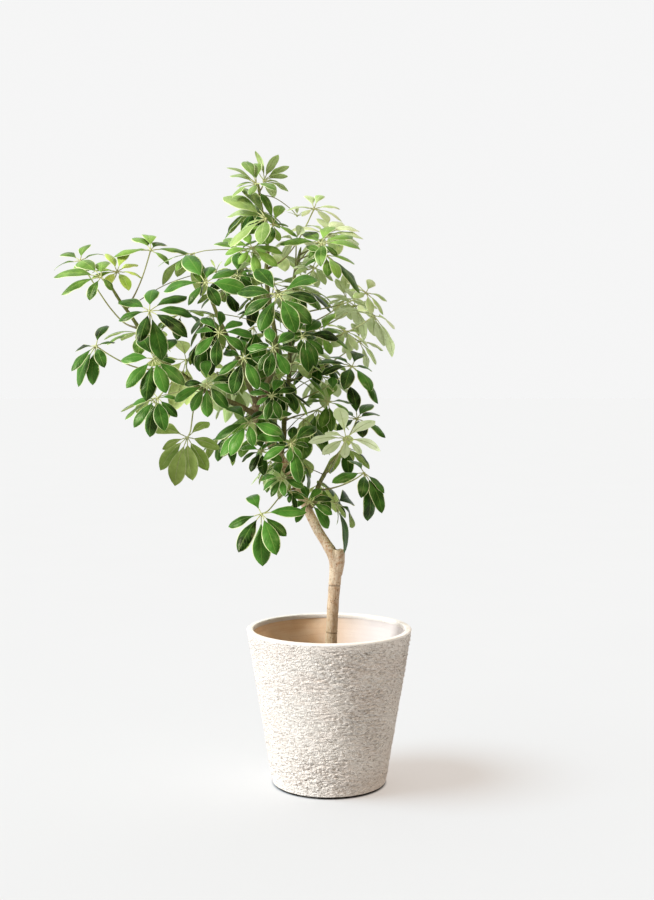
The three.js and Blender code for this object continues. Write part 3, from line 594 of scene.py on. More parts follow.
# The least and the most of what differs from leaflet to leaflet, as shares of its length or half width.
HANG, SWAY = (0.04, 0.17), (-0.05, 0.05)
WIDTH_SPREAD, OUTLINE_SPREAD = (0.88, 1.1), (0.82, 1.15)
FOLD, CAMBER = (0.05, 0.3), (0.1, 0.42)
WAVE_HEIGHT, WAVE_PACE = (0.03, 0.1), (1.2, 2.3)
HANG_POWER = 2.4
HANG_BACK = 0.62
TIP_TURN = 1.6
UPPER, UNDER, STALK = 0, 1, 2
STEPS = np.linspace(0, 1, BLADE_STEPS)
ACROSS = np.linspace(-1, 1, BLADE_COLUMNS)


def arch_point(leaflet, share):
    """A place on the leaflet's middle line, and the direction of the line there."""
    hub, crown, tip = leaflet["hub"], leaflet["crown"], leaflet["tip"]
    point = (1 - share) ** 2 * hub + 2 * share * (1 - share) * crown + share**2 * tip
    return point, unit((1 - share) * (crown - hub) + share * (tip - crown))


def square_to(heading, top):
    """The part of the top that stands square to the heading."""
    return unit(top - heading * top.dot(heading))


def blade_frames(leaflet, chance):
    """Middle line, side and top of the blade at each step, with the hanging tip added."""
    length = np.linalg.norm(leaflet["tip"] - leaflet["hub"])
    hang = length * chance.uniform(*HANG)
    sway = length * chance.uniform(*SWAY)
    middles, sides, tops = [], [], []
    for step in STEPS:
        point, heading = arch_point(leaflet, BLADE_START + (1 - BLADE_START) * step)
        top = square_to(heading, leaflet["top"])
        side = np.cross(heading, top)
        fall = hang * (step**HANG_POWER - HANG_BACK * step)
        middles.append(point - top * fall + side * sway * step**2)
        sides.append(side)
        tops.append(unit(top + heading * TIP_TURN * hang / length * step))
    return middles, sides, tops


print("a blade has", BLADE_STEPS, "steps along its line")

# %% The two sheets of a blade
def blade_sheets(leaflet, middles, sides, tops, chance):
    """The points of the upper and of the lower side, row by row, and the blade's tone."""
    widest = leaflet["width"] * chance.uniform(*WIDTH_SPREAD)
    places = np.array(OUTLINE_PLACES) ** chance.uniform(*OUTLINE_SPREAD)
    half = widest * np.interp(STEPS, places, OUTLINE_WIDTHS)
    fold = chance.uniform(*FOLD) * (1 - 0.5 * STEPS)
    camber = chance.uniform(*CAMBER)
    waves = chance.uniform(*WAVE_HEIGHT, 2)
    pace = chance.uniform(*WAVE_PACE, 2)
    start = chance.uniform(0, 2 * math.pi, 2)
    tone = chance.uniform(0, 1) * leaflet["lightness"]
    upper, under = [], []
    for i, step in enumerate(STEPS):
        left, right = waves * widest * np.sin(2 * math.pi * pace * step + start)
        lift = fold[i] * np.abs(ACROSS) * half[i] - camber * half[i] * ACROSS**2
        lift = lift + np.where(ACROSS < 0, left, right) * ACROSS**2 * (half[i] / widest)
        body = BLADE_THICKNESS / 2 * (1 - ACROSS**2) * min(1, 4 * (1 - step))
        line = middles[i] + ACROSS[:, None] * half[i] * sides[i]
        upper.append(line + (lift + body)[:, None] * tops[i])
        under.append(line + (lift - body)[:, None] * tops[i])
    return upper, under, tone


print("a blade has", (BLADE_STEPS - 1) * (BLADE_COLUMNS - 1) * 2, "faces")

# %% Grow one leaflet
RIB_SHARES = (0.03, 0.09, 0.15)
RIB_START, RIB_LOSS = 0.85, 0.62
RIB_SIDES = 6


def grow_leaflet(shape, leaflet, chance):
    middles, sides, tops = blade_frames(leaflet, chance)
    upper, under, tone = blade_sheets(leaflet, middles, sides, tops, chance)
    along, spread = np.repeat(STEPS, BLADE_COLUMNS), np.tile(ACROSS, BLADE_STEPS)
    first = shape.add_points(upper, along, spread, tone)
    inner = [(i, j) for i in range(1, BLADE_STEPS - 1) for j in range(1, BLADE_COLUMNS - 1)]
    steps, columns = np.array(inner).T
    second = shape.add_points(np.array(under)[steps, columns], STEPS[steps], ACROSS[columns], tone)
    lower = {place: second + n for n, place in enumerate(inner)}
    for i in range(BLADE_STEPS - 1):
        for j in range(BLADE_COLUMNS - 1):
            places = ((i, j), (i, j + 1), (i + 1, j + 1), (i + 1, j))
            high = [first + row * BLADE_COLUMNS + column for row, column in places]
            low = [lower.get(place, top) for place, top in zip(places, high)]
            shape.add_face(high[::-1], UPPER)
            if low != high:
                shape.add_face(low, UNDER)
    grow_midrib(shape, leaflet, middles, tops, tone)


def grow_midrib(shape, leaflet, middles, tops, tone):
    """The leaflet's stalk, which runs on under the blade as its midrib."""
    stout = STALK_RADIUS * leaflet["stoutness"]
    path = [arch_point(leaflet, share)[0] for share in RIB_SHARES]
    radii, along = [stout] * len(path), [1.0] * len(path)
    for i in range(0, BLADE_STEPS - 1, 2):
        share = i / (BLADE_STEPS - 1)
        radii.append(stout * (RIB_START - RIB_LOSS * share**0.7))
        path.append(middles[i] - tops[i] * (BLADE_THICKNESS / 2 + 0.35 * radii[-1]))
        along.append(1.0 + share)
    shape.tube(path, radii, RIB_SIDES, along=along, tone=tone, finish=STALK)


print("a midrib has", RIB_SIDES, "sides")

# %% [markdown]
# ## The finishes of leaves
# One recipe makes them all, with other greens for each kind: deep green leaves inside the crown, a darker,
# less glossy one painted as painted shade for a leaf in the crown's shade, fresh ones on its outside, soft
# ones at the top, pale ones painted paler as painted light where the light shines on and through them, and
# the yellow-green of young ones. The pattern follows the blade's own measures, which its points store:
# how far along, and how far from the midrib. So the midrib, the side veins that slant towards the tip and
# the pale margin all fall where they grow. Waxy leaves have a soft broad gloss and not a mirror's, so the
# roughness is about a third.

# %% The greens of each kind of leaf
VEIN_PAIRS = 9
VEIN_SLANT = 2.4
SHEEN_TINT = (0.95, 1.0, 0.5, 1)
# For each kind: gloss; the upper side's dark and light green, rib and margin; the underside's two greens.
LEAF_LOOKS = {
    "deep": (0.17, (2, 26, 0), (76, 128, 46), (140, 168, 80), (224, 230, 178),
             (132, 158, 72), (178, 198, 116)),
    # Painted shade: a darker, less glossy copy of deep for leaves in the crown's shade.
    "shade": (0.05, (12, 40, 2), (60, 108, 34), (130, 158, 70), (214, 220, 160),
              (112, 140, 58), (158, 178, 98)),
    "fresh": (0.2, (30, 72, 2), (134, 176, 76), (184, 204, 116), (230, 236, 186),
              (164, 186, 102), (204, 220, 150)),
    "soft": (0.22, (84, 120, 48), (160, 184, 106), (196, 210, 146), (232, 238, 196),
             (172, 192, 118), (210, 224, 164)),
    # Painted light: paler greens for leaves that the light shines on and through.
    "pale": (0.24, (156, 186, 108), (220, 233, 178), (226, 236, 188), (240, 244, 212),
             (208, 222, 164), (236, 244, 204)),
    "young": (0.24, (128, 168, 48), (194, 216, 104), (220, 230, 154), (234, 240, 186),
              (186, 206, 112), (220, 232, 160)),
}


print("kinds of leaf:", list(LEAF_LOOKS))

# %% Veins, and how light the green is
def vein_pattern(finish):
    """Side veins, midrib and margin, each from 0 to 1."""
    apart = finish.math("ABSOLUTE", finish.stored("across"))
    pairs = finish.times(finish.stored("along"), VEIN_PAIRS)
    nearest = finish.math("PINGPONG", finish.minus(pairs, finish.times(apart, VEIN_SLANT)), 0.5)
    line = finish.step(nearest, 0.0, 0.13, 1.0, 0.0)
    veins = finish.times(line, finish.step(apart, 0.55, 0.92, 1.0, 0.0))
    return veins, finish.step(apart, 0.015, 0.075, 1.0, 0.0), finish.step(apart, 0.87, 0.96)


def green_share(finish, mottle, tone_weight, most):
    """How light the green is: by the leaflet's own tone, and mottled."""
    tone = finish.times(finish.stored("tone"), tone_weight)
    return finish.plus(tone, finish.step(mottle, 0.35, 0.7, -0.1, most), clamp=True)


print("side veins of a blade:", 2 * VEIN_PAIRS)

# %% Leaf finishes
def leaf_finishes(kind, gloss, dark, light, rib, edge, under_dark, under_light):
    """The finishes of a leaf's upper side and of its underside."""
    upper = Finish("leaf_upper_" + kind, 0.35, gloss)
    under = Finish("leaf_under_" + kind, 0.6, 0.1)
    for finish in (upper, under):
        finish.sockets["Specular Tint"].default_value = SHEEN_TINT
    veins, midrib, margin = vein_pattern(upper)
    mottle = upper.grain(55.0, detail=3.0)
    upper.coat(
        upper.paints(green_share(upper, mottle, 0.9, 0.35), dark, light),
        (upper.times(veins, 0.14), rib), (upper.times(midrib, 0.34), rib), (upper.times(margin, 0.85), edge),
    )
    upper.put(upper.step(mottle, 0.3, 0.75, 0.27, 0.4), upper.sockets["Roughness"])
    grooves = upper.plus(upper.times(veins, 0.45), midrib)
    upper.relief(upper.minus(upper.times(mottle, 0.35), grooves), 0.35, 0.0005)
    veins, _, margin = vein_pattern(under)
    mottle = under.grain(70.0, detail=3.0)
    under.coat(
        under.paints(green_share(under, mottle, 0.6, 0.4), under_dark, under_light),
        (under.times(veins, 0.35), rib), (under.times(margin, 0.5), edge),
    )
    under.relief(under.plus(under.times(mottle, 0.3), under.times(veins, 0.6)), 0.3, 0.0004)
    return [upper, under]


def stalk_finish():
    """Leaf stalks are brownish olive where they leave the stem and turn pale green towards the leaflets."""
    finish = Finish("leaf_stalk", 0.5, 0.45)
    along = finish.stored("along")
    streaks = finish.grain((260, 260, 90))
    finish.coat(
        finish.paints((along, 0.0, 0.35), (108, 102, 56), (146, 146, 86)),
        ((along, 0.4, 0.9), (194, 200, 136)),
        ((along, 1.0, 1.6), (186, 198, 136)),
        ((streaks, 0.4, 0.75, 0.0, 0.35), (98, 78, 46)),
    )
    finish.relief(streaks, 0.3, 0.0003)
    return finish


stalk = stalk_finish()
LEAF_FINISHES = {kind: [*leaf_finishes(kind, *look), stalk] for kind, look in LEAF_LOOKS.items()}
print("leaf finishes:", sorted(LEAF_FINISHES))

# %% [markdown]
# ## The leaves
# Each leaf is one piece that grew in one piece: stalk, knob and leaflets. The stalk follows the middles of
# the CAD stalk's rings in a smooth line. It is a little swollen where it leaves the stem, and again under
# the knob, and its foot reaches just into the stem's skin, as a real one does.

# %% Knobs, stalks, and leaflets from the read sections
SECTION_SHARE = 0.44
SECTION_WIDTH = 0.86
KNOB_ROWS = 5
KNOB_SIDES = 8
KNOB_RADIUS = 0.0026
LEAF_STALK_SIDES = 8
KNOB_SPREAD = (0.92, 1.08)
SWELL_LENGTH = 0.05
FOOT_SWELL, NECK_SWELL = 0.45, 0.2


def leaflet_from_sections(hub, tip, rings):
    """The arch, width and upper side of a leaflet, from its three-cornered middle section."""
    section = rings[1]
    a, b, c = max(
        [(0, 1, 2), (0, 2, 1), (1, 2, 0)], key=lambda p: np.linalg.norm(section[p[0]] - section[p[1]])
    )
    margin_middle = (section[a] + section[b]) / 2
    middle = (margin_middle + section[c]) / 2
    share, rest = SECTION_SHARE, 1 - SECTION_SHARE
    return {
        "hub": hub, "tip": tip, "crown": (middle - rest**2 * hub - share**2 * tip) / (2 * share * rest),
        "top": unit(margin_middle - section[c]), "stoutness": 1.0, "lightness": 1.0,
        "width": np.linalg.norm(section[a] - section[b]) / 2 / SECTION_WIDTH,
    }


def grow_knob(shape, hub, radius, chance):
    """The rounded knob where the leaflets' stalks meet."""
    turns = math.pi * (np.arange(KNOB_ROWS) + 0.6) / (KNOB_ROWS + 0.2)
    rings = [circle(math.sin(turn), KNOB_SIDES, 0.85 * math.cos(turn)) for turn in turns]
    uneven = radius * chance.uniform(*KNOB_SPREAD, (KNOB_ROWS, KNOB_SIDES, 1))
    start = shape.add_points((hub + uneven * rings)[::-1], along=1.0, tone=0.6)
    shape.join_rings(start, KNOB_ROWS, KNOB_SIDES, STALK)


def grow_stalk(shape, middles, radii, tone):
    """A leaf's stalk through these middles, swollen at its foot and under the knob."""
    count = max(10, int(len(middles) * 4))
    share = np.linspace(0, 1, count)
    radius = np.interp(share, np.linspace(0, 1, len(radii)), radii)
    foot, neck = bell(share, SWELL_LENGTH), bell(1 - share, SWELL_LENGTH)
    radius = 0.88 * radius * (1 + FOOT_SWELL * foot + NECK_SWELL * neck)
    shape.tube(smooth_path(middles, count), radius, LEAF_STALK_SIDES, along=share, tone=tone, finish=STALK)


print("a knob is", 2000 * KNOB_RADIUS, "mm wide")

# %% Grow the leaves of the CAD model
FOOT_DEPTH = 0.0016
# The leaves that are not of the fresh kind: where they sit, and their numbers.
LEAF_KINDS = {
    "deep": {"front": range(1, 8), "centre": (1, 2, 3), "left": (5, 6, 7, 8, 10, 11), "low": (1, 2, 3),
             "right": (1, 3, 5, 6), "back": (1, 2)},
    # Painted shade: a darker, less glossy green for a low leaf in the crown's shade.
    "shade": {"low": (4,)},
    "soft": {"top": (1, 2, 3)},
    # Painted light: paler greens where the light shines on and through these leaves.
    "pale": {"top": (5, 6, 9, 10), "right": (2, *range(8, 14))},
    "young": {"left": (3, 9)},
}
KIND_OF = {
    f"leaf_{place}_{number}": kind
    for kind, places in LEAF_KINDS.items() for place, numbers in places.items() for number in numbers
}


def beyond_foot(rings):
    """A tube's foot, moved outwards so that it reaches into the skin it grows from."""
    return rings[0][0] + FOOT_DEPTH * unit(rings[0][0] - rings[1][0])


leaf_faces = 0
for node, leaf in READ.items():
    chance = random_for(node)
    shape = Shape()
    leaf["grown"] = [leaflet_from_sections(leaf["hub"], tip, rings) for tip, rings in leaf["leaflets"]]
    for leaflet in leaf["grown"]:
        grow_leaflet(shape, leaflet, chance)
    grow_knob(shape, leaf["hub"], KNOB_RADIUS, chance)
    middles, radii = zip(*leaf["stalk"])
    line = [beyond_foot(leaf["stalk"]), *middles[1:], leaf["hub"]]
    grow_stalk(shape, line, [*radii, radii[-1]], chance.uniform(0, 1))
    dress(shape.make(node + "_grown", LEAF_FINISHES[KIND_OF.get(node, "fresh")]), [node], SLOT_OF[node])
    leaf_faces += len(shape.faces)
print("leaves grown:", len(READ), "faces:", leaf_faces)

# %% [markdown]
# ## Bark
# The trunk is as thick as a broom handle. Its bark is tan and dry, with a fine grain along it, brown
# scaly spots, small corky dots, and a dark ring wherever a leaf once grew all round the young stem. Higher
# up, inside the crown, it is younger, greyer and rougher with close leaf scars. At the kink the gardener
# cut the old leader off and a side shoot took over: a swelling and a short stub are left. To melt the stub
# into the trunk we join the tubes and wrap one even skin of small faces round them, and then push the
# skin's points out and in.

# %% Finish of the bark
def dots_of(finish, scale, low, high):
    """Small round dots, 1 in their middles."""
    return finish.step(finish.cells(scale), low, high, 1.0, 0.0)


def bark_finish():
    finish = Finish("trunk_bark", 0.78, 0.25)
    along = finish.stored("along")
    fine = finish.grain((420, 420, 120), detail=4.0, rough=0.62)
    broad = finish.grain((60, 60, 34), detail=3.0)
    rare = finish.step(finish.grain((120, 120, 120)), 0.5, 0.62)
    corky = finish.times(dots_of(finish, (330, 330, 190), 0.16, 0.3), rare)
    spots = finish.grain((150, 150, 210), detail=3.0, rough=0.6)
    scaly = finish.times(finish.step(spots, 0.5, 0.6, 0.0, 0.8), finish.step(along, 0.26, 0.4, 0.55, 1.0))
    crown_bark = finish.paints((fine, 0.38, 0.66), (112, 88, 62), (180, 156, 122))
    finish.coat(
        finish.paints((broad, 0.36, 0.66), (194, 168, 138), (222, 202, 174)),
        (scaly, (172, 124, 82)),
        ((spots, 0.28, 0.42, 0.5, 0.0), (158, 142, 108)),
        ((fine, 0.42, 0.72, 0.0, 0.6), (234, 218, 194)),
        ((fine, 0.24, 0.42, 0.5, 0.0), (156, 128, 94)),
        (corky, (104, 70, 42)),
        ((along, 0.55, 0.9, 0.0, 0.8), crown_bark),
        (finish.stored("across"), (92, 66, 44)),
        ((along, 0.1, 0.3, 0.8, 0.0), (128, 108, 70)),
    )
    finish.put(finish.step(fine, 0.3, 0.7, 0.68, 0.88), finish.sockets["Roughness"])
    finish.relief(finish.plus(finish.plus(fine, finish.times(corky, 0.8)), spots), 0.7, 0.0008)
    return finish


BARK = bark_finish()
print("bark ready")

# %% Wrap the trunk and its stub in one skin
SKIN_CELL = 0.0011
# The middle lines as seen: right, down, depth and radius in millimetres.
TRUNK_ROUTE = [
    (330.7, 712, 0, 8), (330.7, 684, 0, 15), (330.7, 668, 0, 12.5), (331.2, 640, 0, 10.3),
    (333.2, 602, -2, 10), (335.6, 572, -4, 10.6), (335, 558, -4, 11.4), (327.3, 545.5, -3, 8.8),
    (317, 528.5, 0, 8.3), (309, 512, 2, 8.2), (295.5, 484, 6, 7.8), (283.5, 464, 8, 7.4),
    (273, 448, 8, 7.2), (257.5, 422, 4, 6.8), (255, 408, 0, 6.6), (261, 398, -2, 6), (267, 391, -3, 5.4),
]
STUB_ROUTE = [(336.7, 574, -4, 9.9), (338.6, 562, -6, 10.2), (339.4, 549.4, -7, 9.5)]
TRUNK_STEPS = 420
TRUNK_SIDES = 24
STUB_SIDES = 20


def wrapped(shape, name):
    """The shape's closed bodies melted into one even skin."""
    raw = shape.make(name, [])
    remesh = raw.modifiers.new("skin", "REMESH")
    remesh.mode = "VOXEL"
    remesh.voxel_size = SKIN_CELL
    smooth = raw.modifiers.new("smooth", "SMOOTH")
    smooth.factor = 0.6
    smooth.iterations = 2
    mesh = bpy.data.meshes.new_from_object(raw.evaluated_get(bpy.context.evaluated_depsgraph_get()))
    bpy.data.objects.remove(raw)
    return mesh


def route_of(rows):
    """The points and radii of a route, in metres."""
    return [np.array(seen(*row[:3])) for row in rows], [row[3] / 1000 for row in rows]


corners, corner_radii = route_of(TRUNK_ROUTE)
trunk_path = smooth_path(corners, TRUNK_STEPS)
trunk_radii = smooth_path([(r, 0, 0) for r in corner_radii], TRUNK_STEPS)[:, 0]
raw_trunk = Shape()
raw_trunk.tube(trunk_path, 0.985 * trunk_radii, TRUNK_SIDES)
raw_trunk.tube(*route_of(STUB_ROUTE), STUB_SIDES)
trunk_mesh = wrapped(raw_trunk, "trunk_raw")
points, normals = point_values(trunk_mesh), point_values(trunk_mesh, "normal")
print("trunk:", len(trunk_mesh.polygons), "faces")

# %% Scars, grain and the notch by the stub
RING_SCARS = [(331, 632), (334, 585)]
CROWN_SCARS = np.linspace(262, 415, 15).astype(int)
RIDGE_RISE = (0, 0, 0.0022)
NOTCH = (337, 548.4)
NOTCH_SIZE = (2.6, 0.9)
SCAR_WIDTH, RIDGE_WIDTH, CROWN_SCAR_WIDTH = 0.0009, 0.0013, 0.0012
SCAR_DEPTH, RIDGE_LIFT, CROWN_SCAR_DEPTH, NOTCH_DEPTH = 0.0007, 0.0005, 0.0006, 0.0012


def field(points, scales, layer=0.0):
    """Smooth noise at each point, with its own scale along x, y and z."""
    scales, shift = Vector(scales), Vector((layer, layer, layer))
    return np.array([noise.noise(Vector(p) * scales + shift) for p in points.tolist()])


tree = KDTree(TRUNK_STEPS)
for i, place in enumerate(trunk_path):
    tree.insert(place, i)
tree.balance()
nearest = np.array([tree.find(p)[1] for p in points.tolist()])
trunk_along = nearest / (TRUNK_STEPS - 1)
level = ((points - trunk_path[nearest]) * headings(trunk_path)[nearest]).sum(1)
wander = field(points, (38, 38, 38), 7.0) * 0.0022
trunk_length = lengths_along(trunk_path)


def ring_marks(marks, width):
    """1 on a ring round the trunk at each mark, fading out over the width, with an uneven course."""
    total = np.zeros(len(points))
    for mark in marks:
        at = trunk_length[np.linalg.norm(trunk_path - mark, axis=1).argmin()]
        total += bell(trunk_length[nearest] + level - at - wander, width)
    return np.minimum(total, 1)


scars = np.array([seen(u, v, 0) for u, v in RING_SCARS])
rings = ring_marks(scars, SCAR_WIDTH)
ridges = ring_marks(scars + RIDGE_RISE, RIDGE_WIDTH)
crown_rings = ring_marks(trunk_path[CROWN_SCARS], CROWN_SCAR_WIDTH)
off_notch = (np.array([picture_place(p) for p in points.tolist()]) - NOTCH) / NOTCH_SIZE
notch = np.exp(-(off_notch[:, 0] ** 4) - off_notch[:, 1] ** 2)
grain = field(points, (300, 300, 70)) * 0.00022 + field(points, (90, 90, 45), 3.0) * 0.0006
rough = np.clip((trunk_along - 0.5) / 0.3, 0, 1) * field(points, (260, 260, 260), 5.0) * 0.0008
lift = grain + rough - SCAR_DEPTH * rings + RIDGE_LIFT * ridges
lift -= CROWN_SCAR_DEPTH * crown_rings + NOTCH_DEPTH * notch
trunk_mesh.vertices.foreach_set("co", (points + normals * lift[:, None]).ravel())
store(trunk_mesh, "along", trunk_along)
store(trunk_mesh, "across", np.minimum(0.75 * rings + 0.5 * crown_rings + notch, 1))
trunk_mesh.polygons.foreach_set("use_smooth", [True] * len(trunk_mesh.polygons))
trunk_mesh.materials.append(BARK.material)
trunk_piece = dress(stand("trunk_grown", trunk_mesh), ["trunk"], SLOT_OF["trunk"])
shadow_makers.objects.link(trunk_piece)
print("scars:", len(RING_SCARS), "seen and", len(CROWN_SCARS), "in the crown")

# %% [markdown]
# ## Stems
# The stems are green and still grow. Each old leaf has left a slight knuckle with a dark crescent under
# it, and the skin between is sprinkled with tiny pale dots. A stem ends in a small pointed bud between the
# youngest leaves. We read the rings of each CAD stem, run a finer tube through their middles, and give it
# its knuckles at uneven steps.

# %% Finish of the stems
def stem_finish():
    finish = Finish("stem_skin", 0.5, 0.4)
    along = finish.stored("along")
    fine = finish.grain((380, 380, 130), detail=3.0)
    dots = dots_of(finish, (420, 420, 300), 0.14, 0.26)
    finish.coat(
        finish.paints((fine, 0.35, 0.68), (76, 80, 34), (130, 132, 68)),
        ((along, 0.0, 0.3, 0.75, 0.0), (124, 104, 70)),
        ((along, 0.6, 1.0, 0.0, 0.6), (134, 148, 72)),
        (finish.times(dots, 0.6), (158, 148, 104)),
        (finish.stored("across"), (84, 62, 36)),
    )
    finish.relief(finish.plus(fine, dots), 0.4, 0.0005)
    return finish


STEM = stem_finish()
print("stem finish ready")

# %% Growth of the stems
STEM_SIDES = 7
STEM_NAMES = ["stem_low_right", "stem_right", "stem_top", "stem_left", "stem_middle"]
STEM_STEP = 0.0022
FINE_SIDES = 16
BUD_LENGTH = 0.011
BUD_SIDES = 10
BUD_SHARES = (0, 0.45, 0.8, 1)
BUD_RADII = (0.9, 1.02, 0.86, 0.48, 0.1)
FOOT_FLARE = (1.35, 1.25, 1.14, 1.05)
KNUCKLE_STEP = (0.012, 0.027)
KNUCKLE_WIDTH, CRESCENT_WIDTH, CRESCENT_DROP = 0.0026, 0.0009, 0.0022


def grow_stem(name):
    chance = random_for(name)
    points, _ = solid_of(name)
    rings = read_rings(points, STEM_SIDES, points[points[:, 2].argmin()])
    middles, radii = zip(*rings)
    corners = [beyond_foot(rings), *middles[1:]]
    path = smooth_path(corners, int(lengths_along(corners)[-1] / STEM_STEP))
    share = np.linspace(0, 1, len(path))
    apart = lengths_along(path)
    knuckles = np.cumsum(chance.uniform(*KNUCKLE_STEP, 60))
    knuckles = knuckles[knuckles < apart[-1] - 0.004]
    swell = sum(bell(apart - k, KNUCKLE_WIDTH) for k in knuckles)
    scar = sum(bell(apart - k + CRESCENT_DROP, CRESCENT_WIDTH) for k in knuckles)
    radius = np.interp(share, np.linspace(0, 1, len(rings)), radii) * (0.95 + 0.1 * swell - 0.05 * scar)
    radius[:4] *= FOOT_FLARE
    shape = Shape()
    shape.tube(path, radius, FINE_SIDES, along=share)
    shape.stores["across"] = np.repeat(np.minimum(scar, 1) * 0.55, FINE_SIDES).tolist()
    tip = path[-1] + unit(path[-1] - path[-3]) * BUD_LENGTH
    bud = [path[-2], *(path[-1] * (1 - k) + tip * k for k in BUD_SHARES)]
    shape.tube(bud, radius[-1] * np.array(BUD_RADII), BUD_SIDES, along=1.0)
    dress(shape.make(name + "_grown", [STEM]), [name], SLOT_OF[name])
    return path


STEM_LINES = {name: grow_stem(name) for name in STEM_NAMES}
STEM_LINES["trunk"] = trunk_path
print("stems:", {name: len(line) for name, line in STEM_LINES.items()})

# %% [markdown]
# ## Leaves inside the crown
# The CAD step made the leaves that a viewer can tell apart. A real crown is fuller: small young leaves sit
# at the trunk and beside the tips, and more leaves fill its inside and its back. We read the small ones
# from the photograph: the knob, and the tip of each leaflet. The hidden ones can't be read, so we
# let them grow by rules: a leaf starts on a stem, its stalk leaves it outwards and upwards, and it is kept
# if it crosses no other leaf and stays within the crown as the eye in front sees it.

# %% Small leaves, as read from the photograph
UP = np.array([0, 0, 1.0])
THIN_STALK = 0.0009
SMALL_KNOB = 0.0021
SMALL_ARCH = 0.07
SMALL_STOUTNESS = 0.7
EXTRA_SLOTS = {"pale": "pale_leaf", "young": "young_leaf"}
# The knob (right, down, depth), the stem it grows from, its leaflets' tips, its width and its kind.
SMALL_LEAVES = [
    ((297, 216, 110), "stem_top", ((287, 212), (297, 206), (305, 215), (309, 210)), 0.2, "pale"),
    ((271, 463, -70), "trunk", ((258.5, 484.8), (265, 482), (256, 468)), 0.2, "fresh"),
    ((291, 492, -50), "trunk",
     ((295.9, 510.3), (285, 497), (289, 503), (308.6, 497.6), (281, 486)), 0.2, "deep"),
    ((216, 272, 60), "stem_left", ((211, 259), (222, 261), (228, 268)), 0.2, "young"),
    ((333, 391, -30), "stem_right", ((333, 377),), 0.42, "deep"),
    ((347, 450, -20), "stem_low_right", ((348, 435),), 0.45, "young"),
]


def leaflet_to(hub, tip, arch, width, stoutness, lightness):
    """A leaflet from the hub to the tip that arches up by this share of its length."""
    length = np.linalg.norm(tip - hub)
    heading = (tip - hub) / length
    top = unit(UP + 0.25 * unit(heading * (1, 1, 0)) - heading * heading[2])
    return {
        "hub": hub, "tip": tip, "crown": (hub + tip) / 2 + 2 * arch * length * top, "top": top,
        "width": width * length, "stoutness": stoutness, "lightness": lightness,
    }


def grow_extra_leaf(name, start, hub, leaflets, kind, chance):
    """A leaf that stands for no CAD node. Its stalk rises a little on its way."""
    shape = Shape()
    for leaflet in leaflets:
        grow_leaflet(shape, leaflet, chance)
    grow_knob(shape, hub, SMALL_KNOB, chance)
    rise = UP * np.linalg.norm(hub - start)
    line = [start, start * 0.6 + hub * 0.4 + 0.07 * rise, start * 0.2 + hub * 0.8 + 0.05 * rise, hub]
    grow_stalk(shape, line, [THIN_STALK] * len(line), chance.uniform(0, 1))
    dress(shape.make(name, LEAF_FINISHES[kind]), [], EXTRA_SLOTS.get(kind, "leaf"))


print("small leaves read by hand:", len(SMALL_LEAVES))

# %% Grow the small leaves that the photograph shows
small_leaves = []
for number, (knob, stem, tips, width, kind) in enumerate(SMALL_LEAVES):
    chance = random_for("small", number)
    hub = np.array(seen(*knob))
    path = STEM_LINES[stem]
    start = path[np.linalg.norm(path - hub - UP * 0.03, axis=1).argmin()]
    leaflets = [
        leaflet_to(hub, np.array(seen(u, v, knob[2] + chance.uniform(-12, 6))), SMALL_ARCH, width,
                   SMALL_STOUTNESS, 1.0)
        for u, v in tips
    ]
    grow_extra_leaf(f"small_leaf_{number + 1:02d}", start, hub, leaflets, kind, chance)
    small_leaves.append((start, hub, leaflets))
print("small leaves:", len(small_leaves))

# %% Who is in the way of a new leaf
OUTLINE_CELL = 4.0


def blade_outline(leaflet):
    """A coarse blade for finding crossings: points and faces."""
    points = [leaflet["hub"]]
    for share, width in ((0.35, 0.7), (0.6, 1.0), (0.85, 0.7)):
        middle, heading = arch_point(leaflet, share)
        side = np.cross(heading, square_to(heading, leaflet["top"])) * width * leaflet["width"]
        points += [middle - side, middle + side]
    return [*points, leaflet["tip"]], [(0, 1, 2), (1, 3, 4, 2), (3, 5, 6, 4), (5, 7, 6)]


def crossing_tree(leaflets, stalk_points):
    """The coarse blades and stalk of a leaf, ready to be asked what crosses them."""
    points, faces = [], []
    for leaflet in leaflets:
        more, loops = blade_outline(leaflet)
        faces += [tuple(len(points) + i for i in loop) for loop in loops]
        points += more
    for a, b in zip(stalk_points, stalk_points[1:]):
        faces.append((len(points), len(points) + 1, len(points) + 2))
        points += [a, b, (a + b) / 2 + UP * 0.002]
    return BVHTree.FromPolygons([tuple(p) for p in points], faces)


def outline_cell(point):
    return tuple(int(place // OUTLINE_CELL) for place in picture_place(point))


grown = []
crown_cells = set()
for leaf in READ.values():
    stalk_points = [middle for middle, _ in leaf["stalk"]][1:]
    grown.append((leaf["hub"], crossing_tree(leaf["grown"], stalk_points)))
    for leaflet in leaf["grown"]:
        for share in np.linspace(0, 1, 12):
            across, down = outline_cell(arch_point(leaflet, share)[0])
            crown_cells |= {(across + a, down + d) for a in range(-2, 3) for d in range(-2, 3)}
for start, hub, leaflets in small_leaves:
    grown.append((hub, crossing_tree(leaflets, [start * 0.9 + hub * 0.1, hub])))
print("the crown covers", len(crown_cells), "cells of", OUTLINE_CELL, "pixels")

# %% Where a hidden leaf may grow
INNER_LEAVES = 72
INNER_TRIES = 3600
BOX_ROOM = 0.004
FRONT_LIMIT = -0.03
LOWEST_HUB = 0.45
LEFT_LIMIT = 140
CENTRE_LEFT, CENTRE_RIGHT, CENTRE_TOP, CENTRE_FOOT = 205, 325, 280, 455
OUTER_LOSS = 0.78
NEAR_HUBS = 0.2
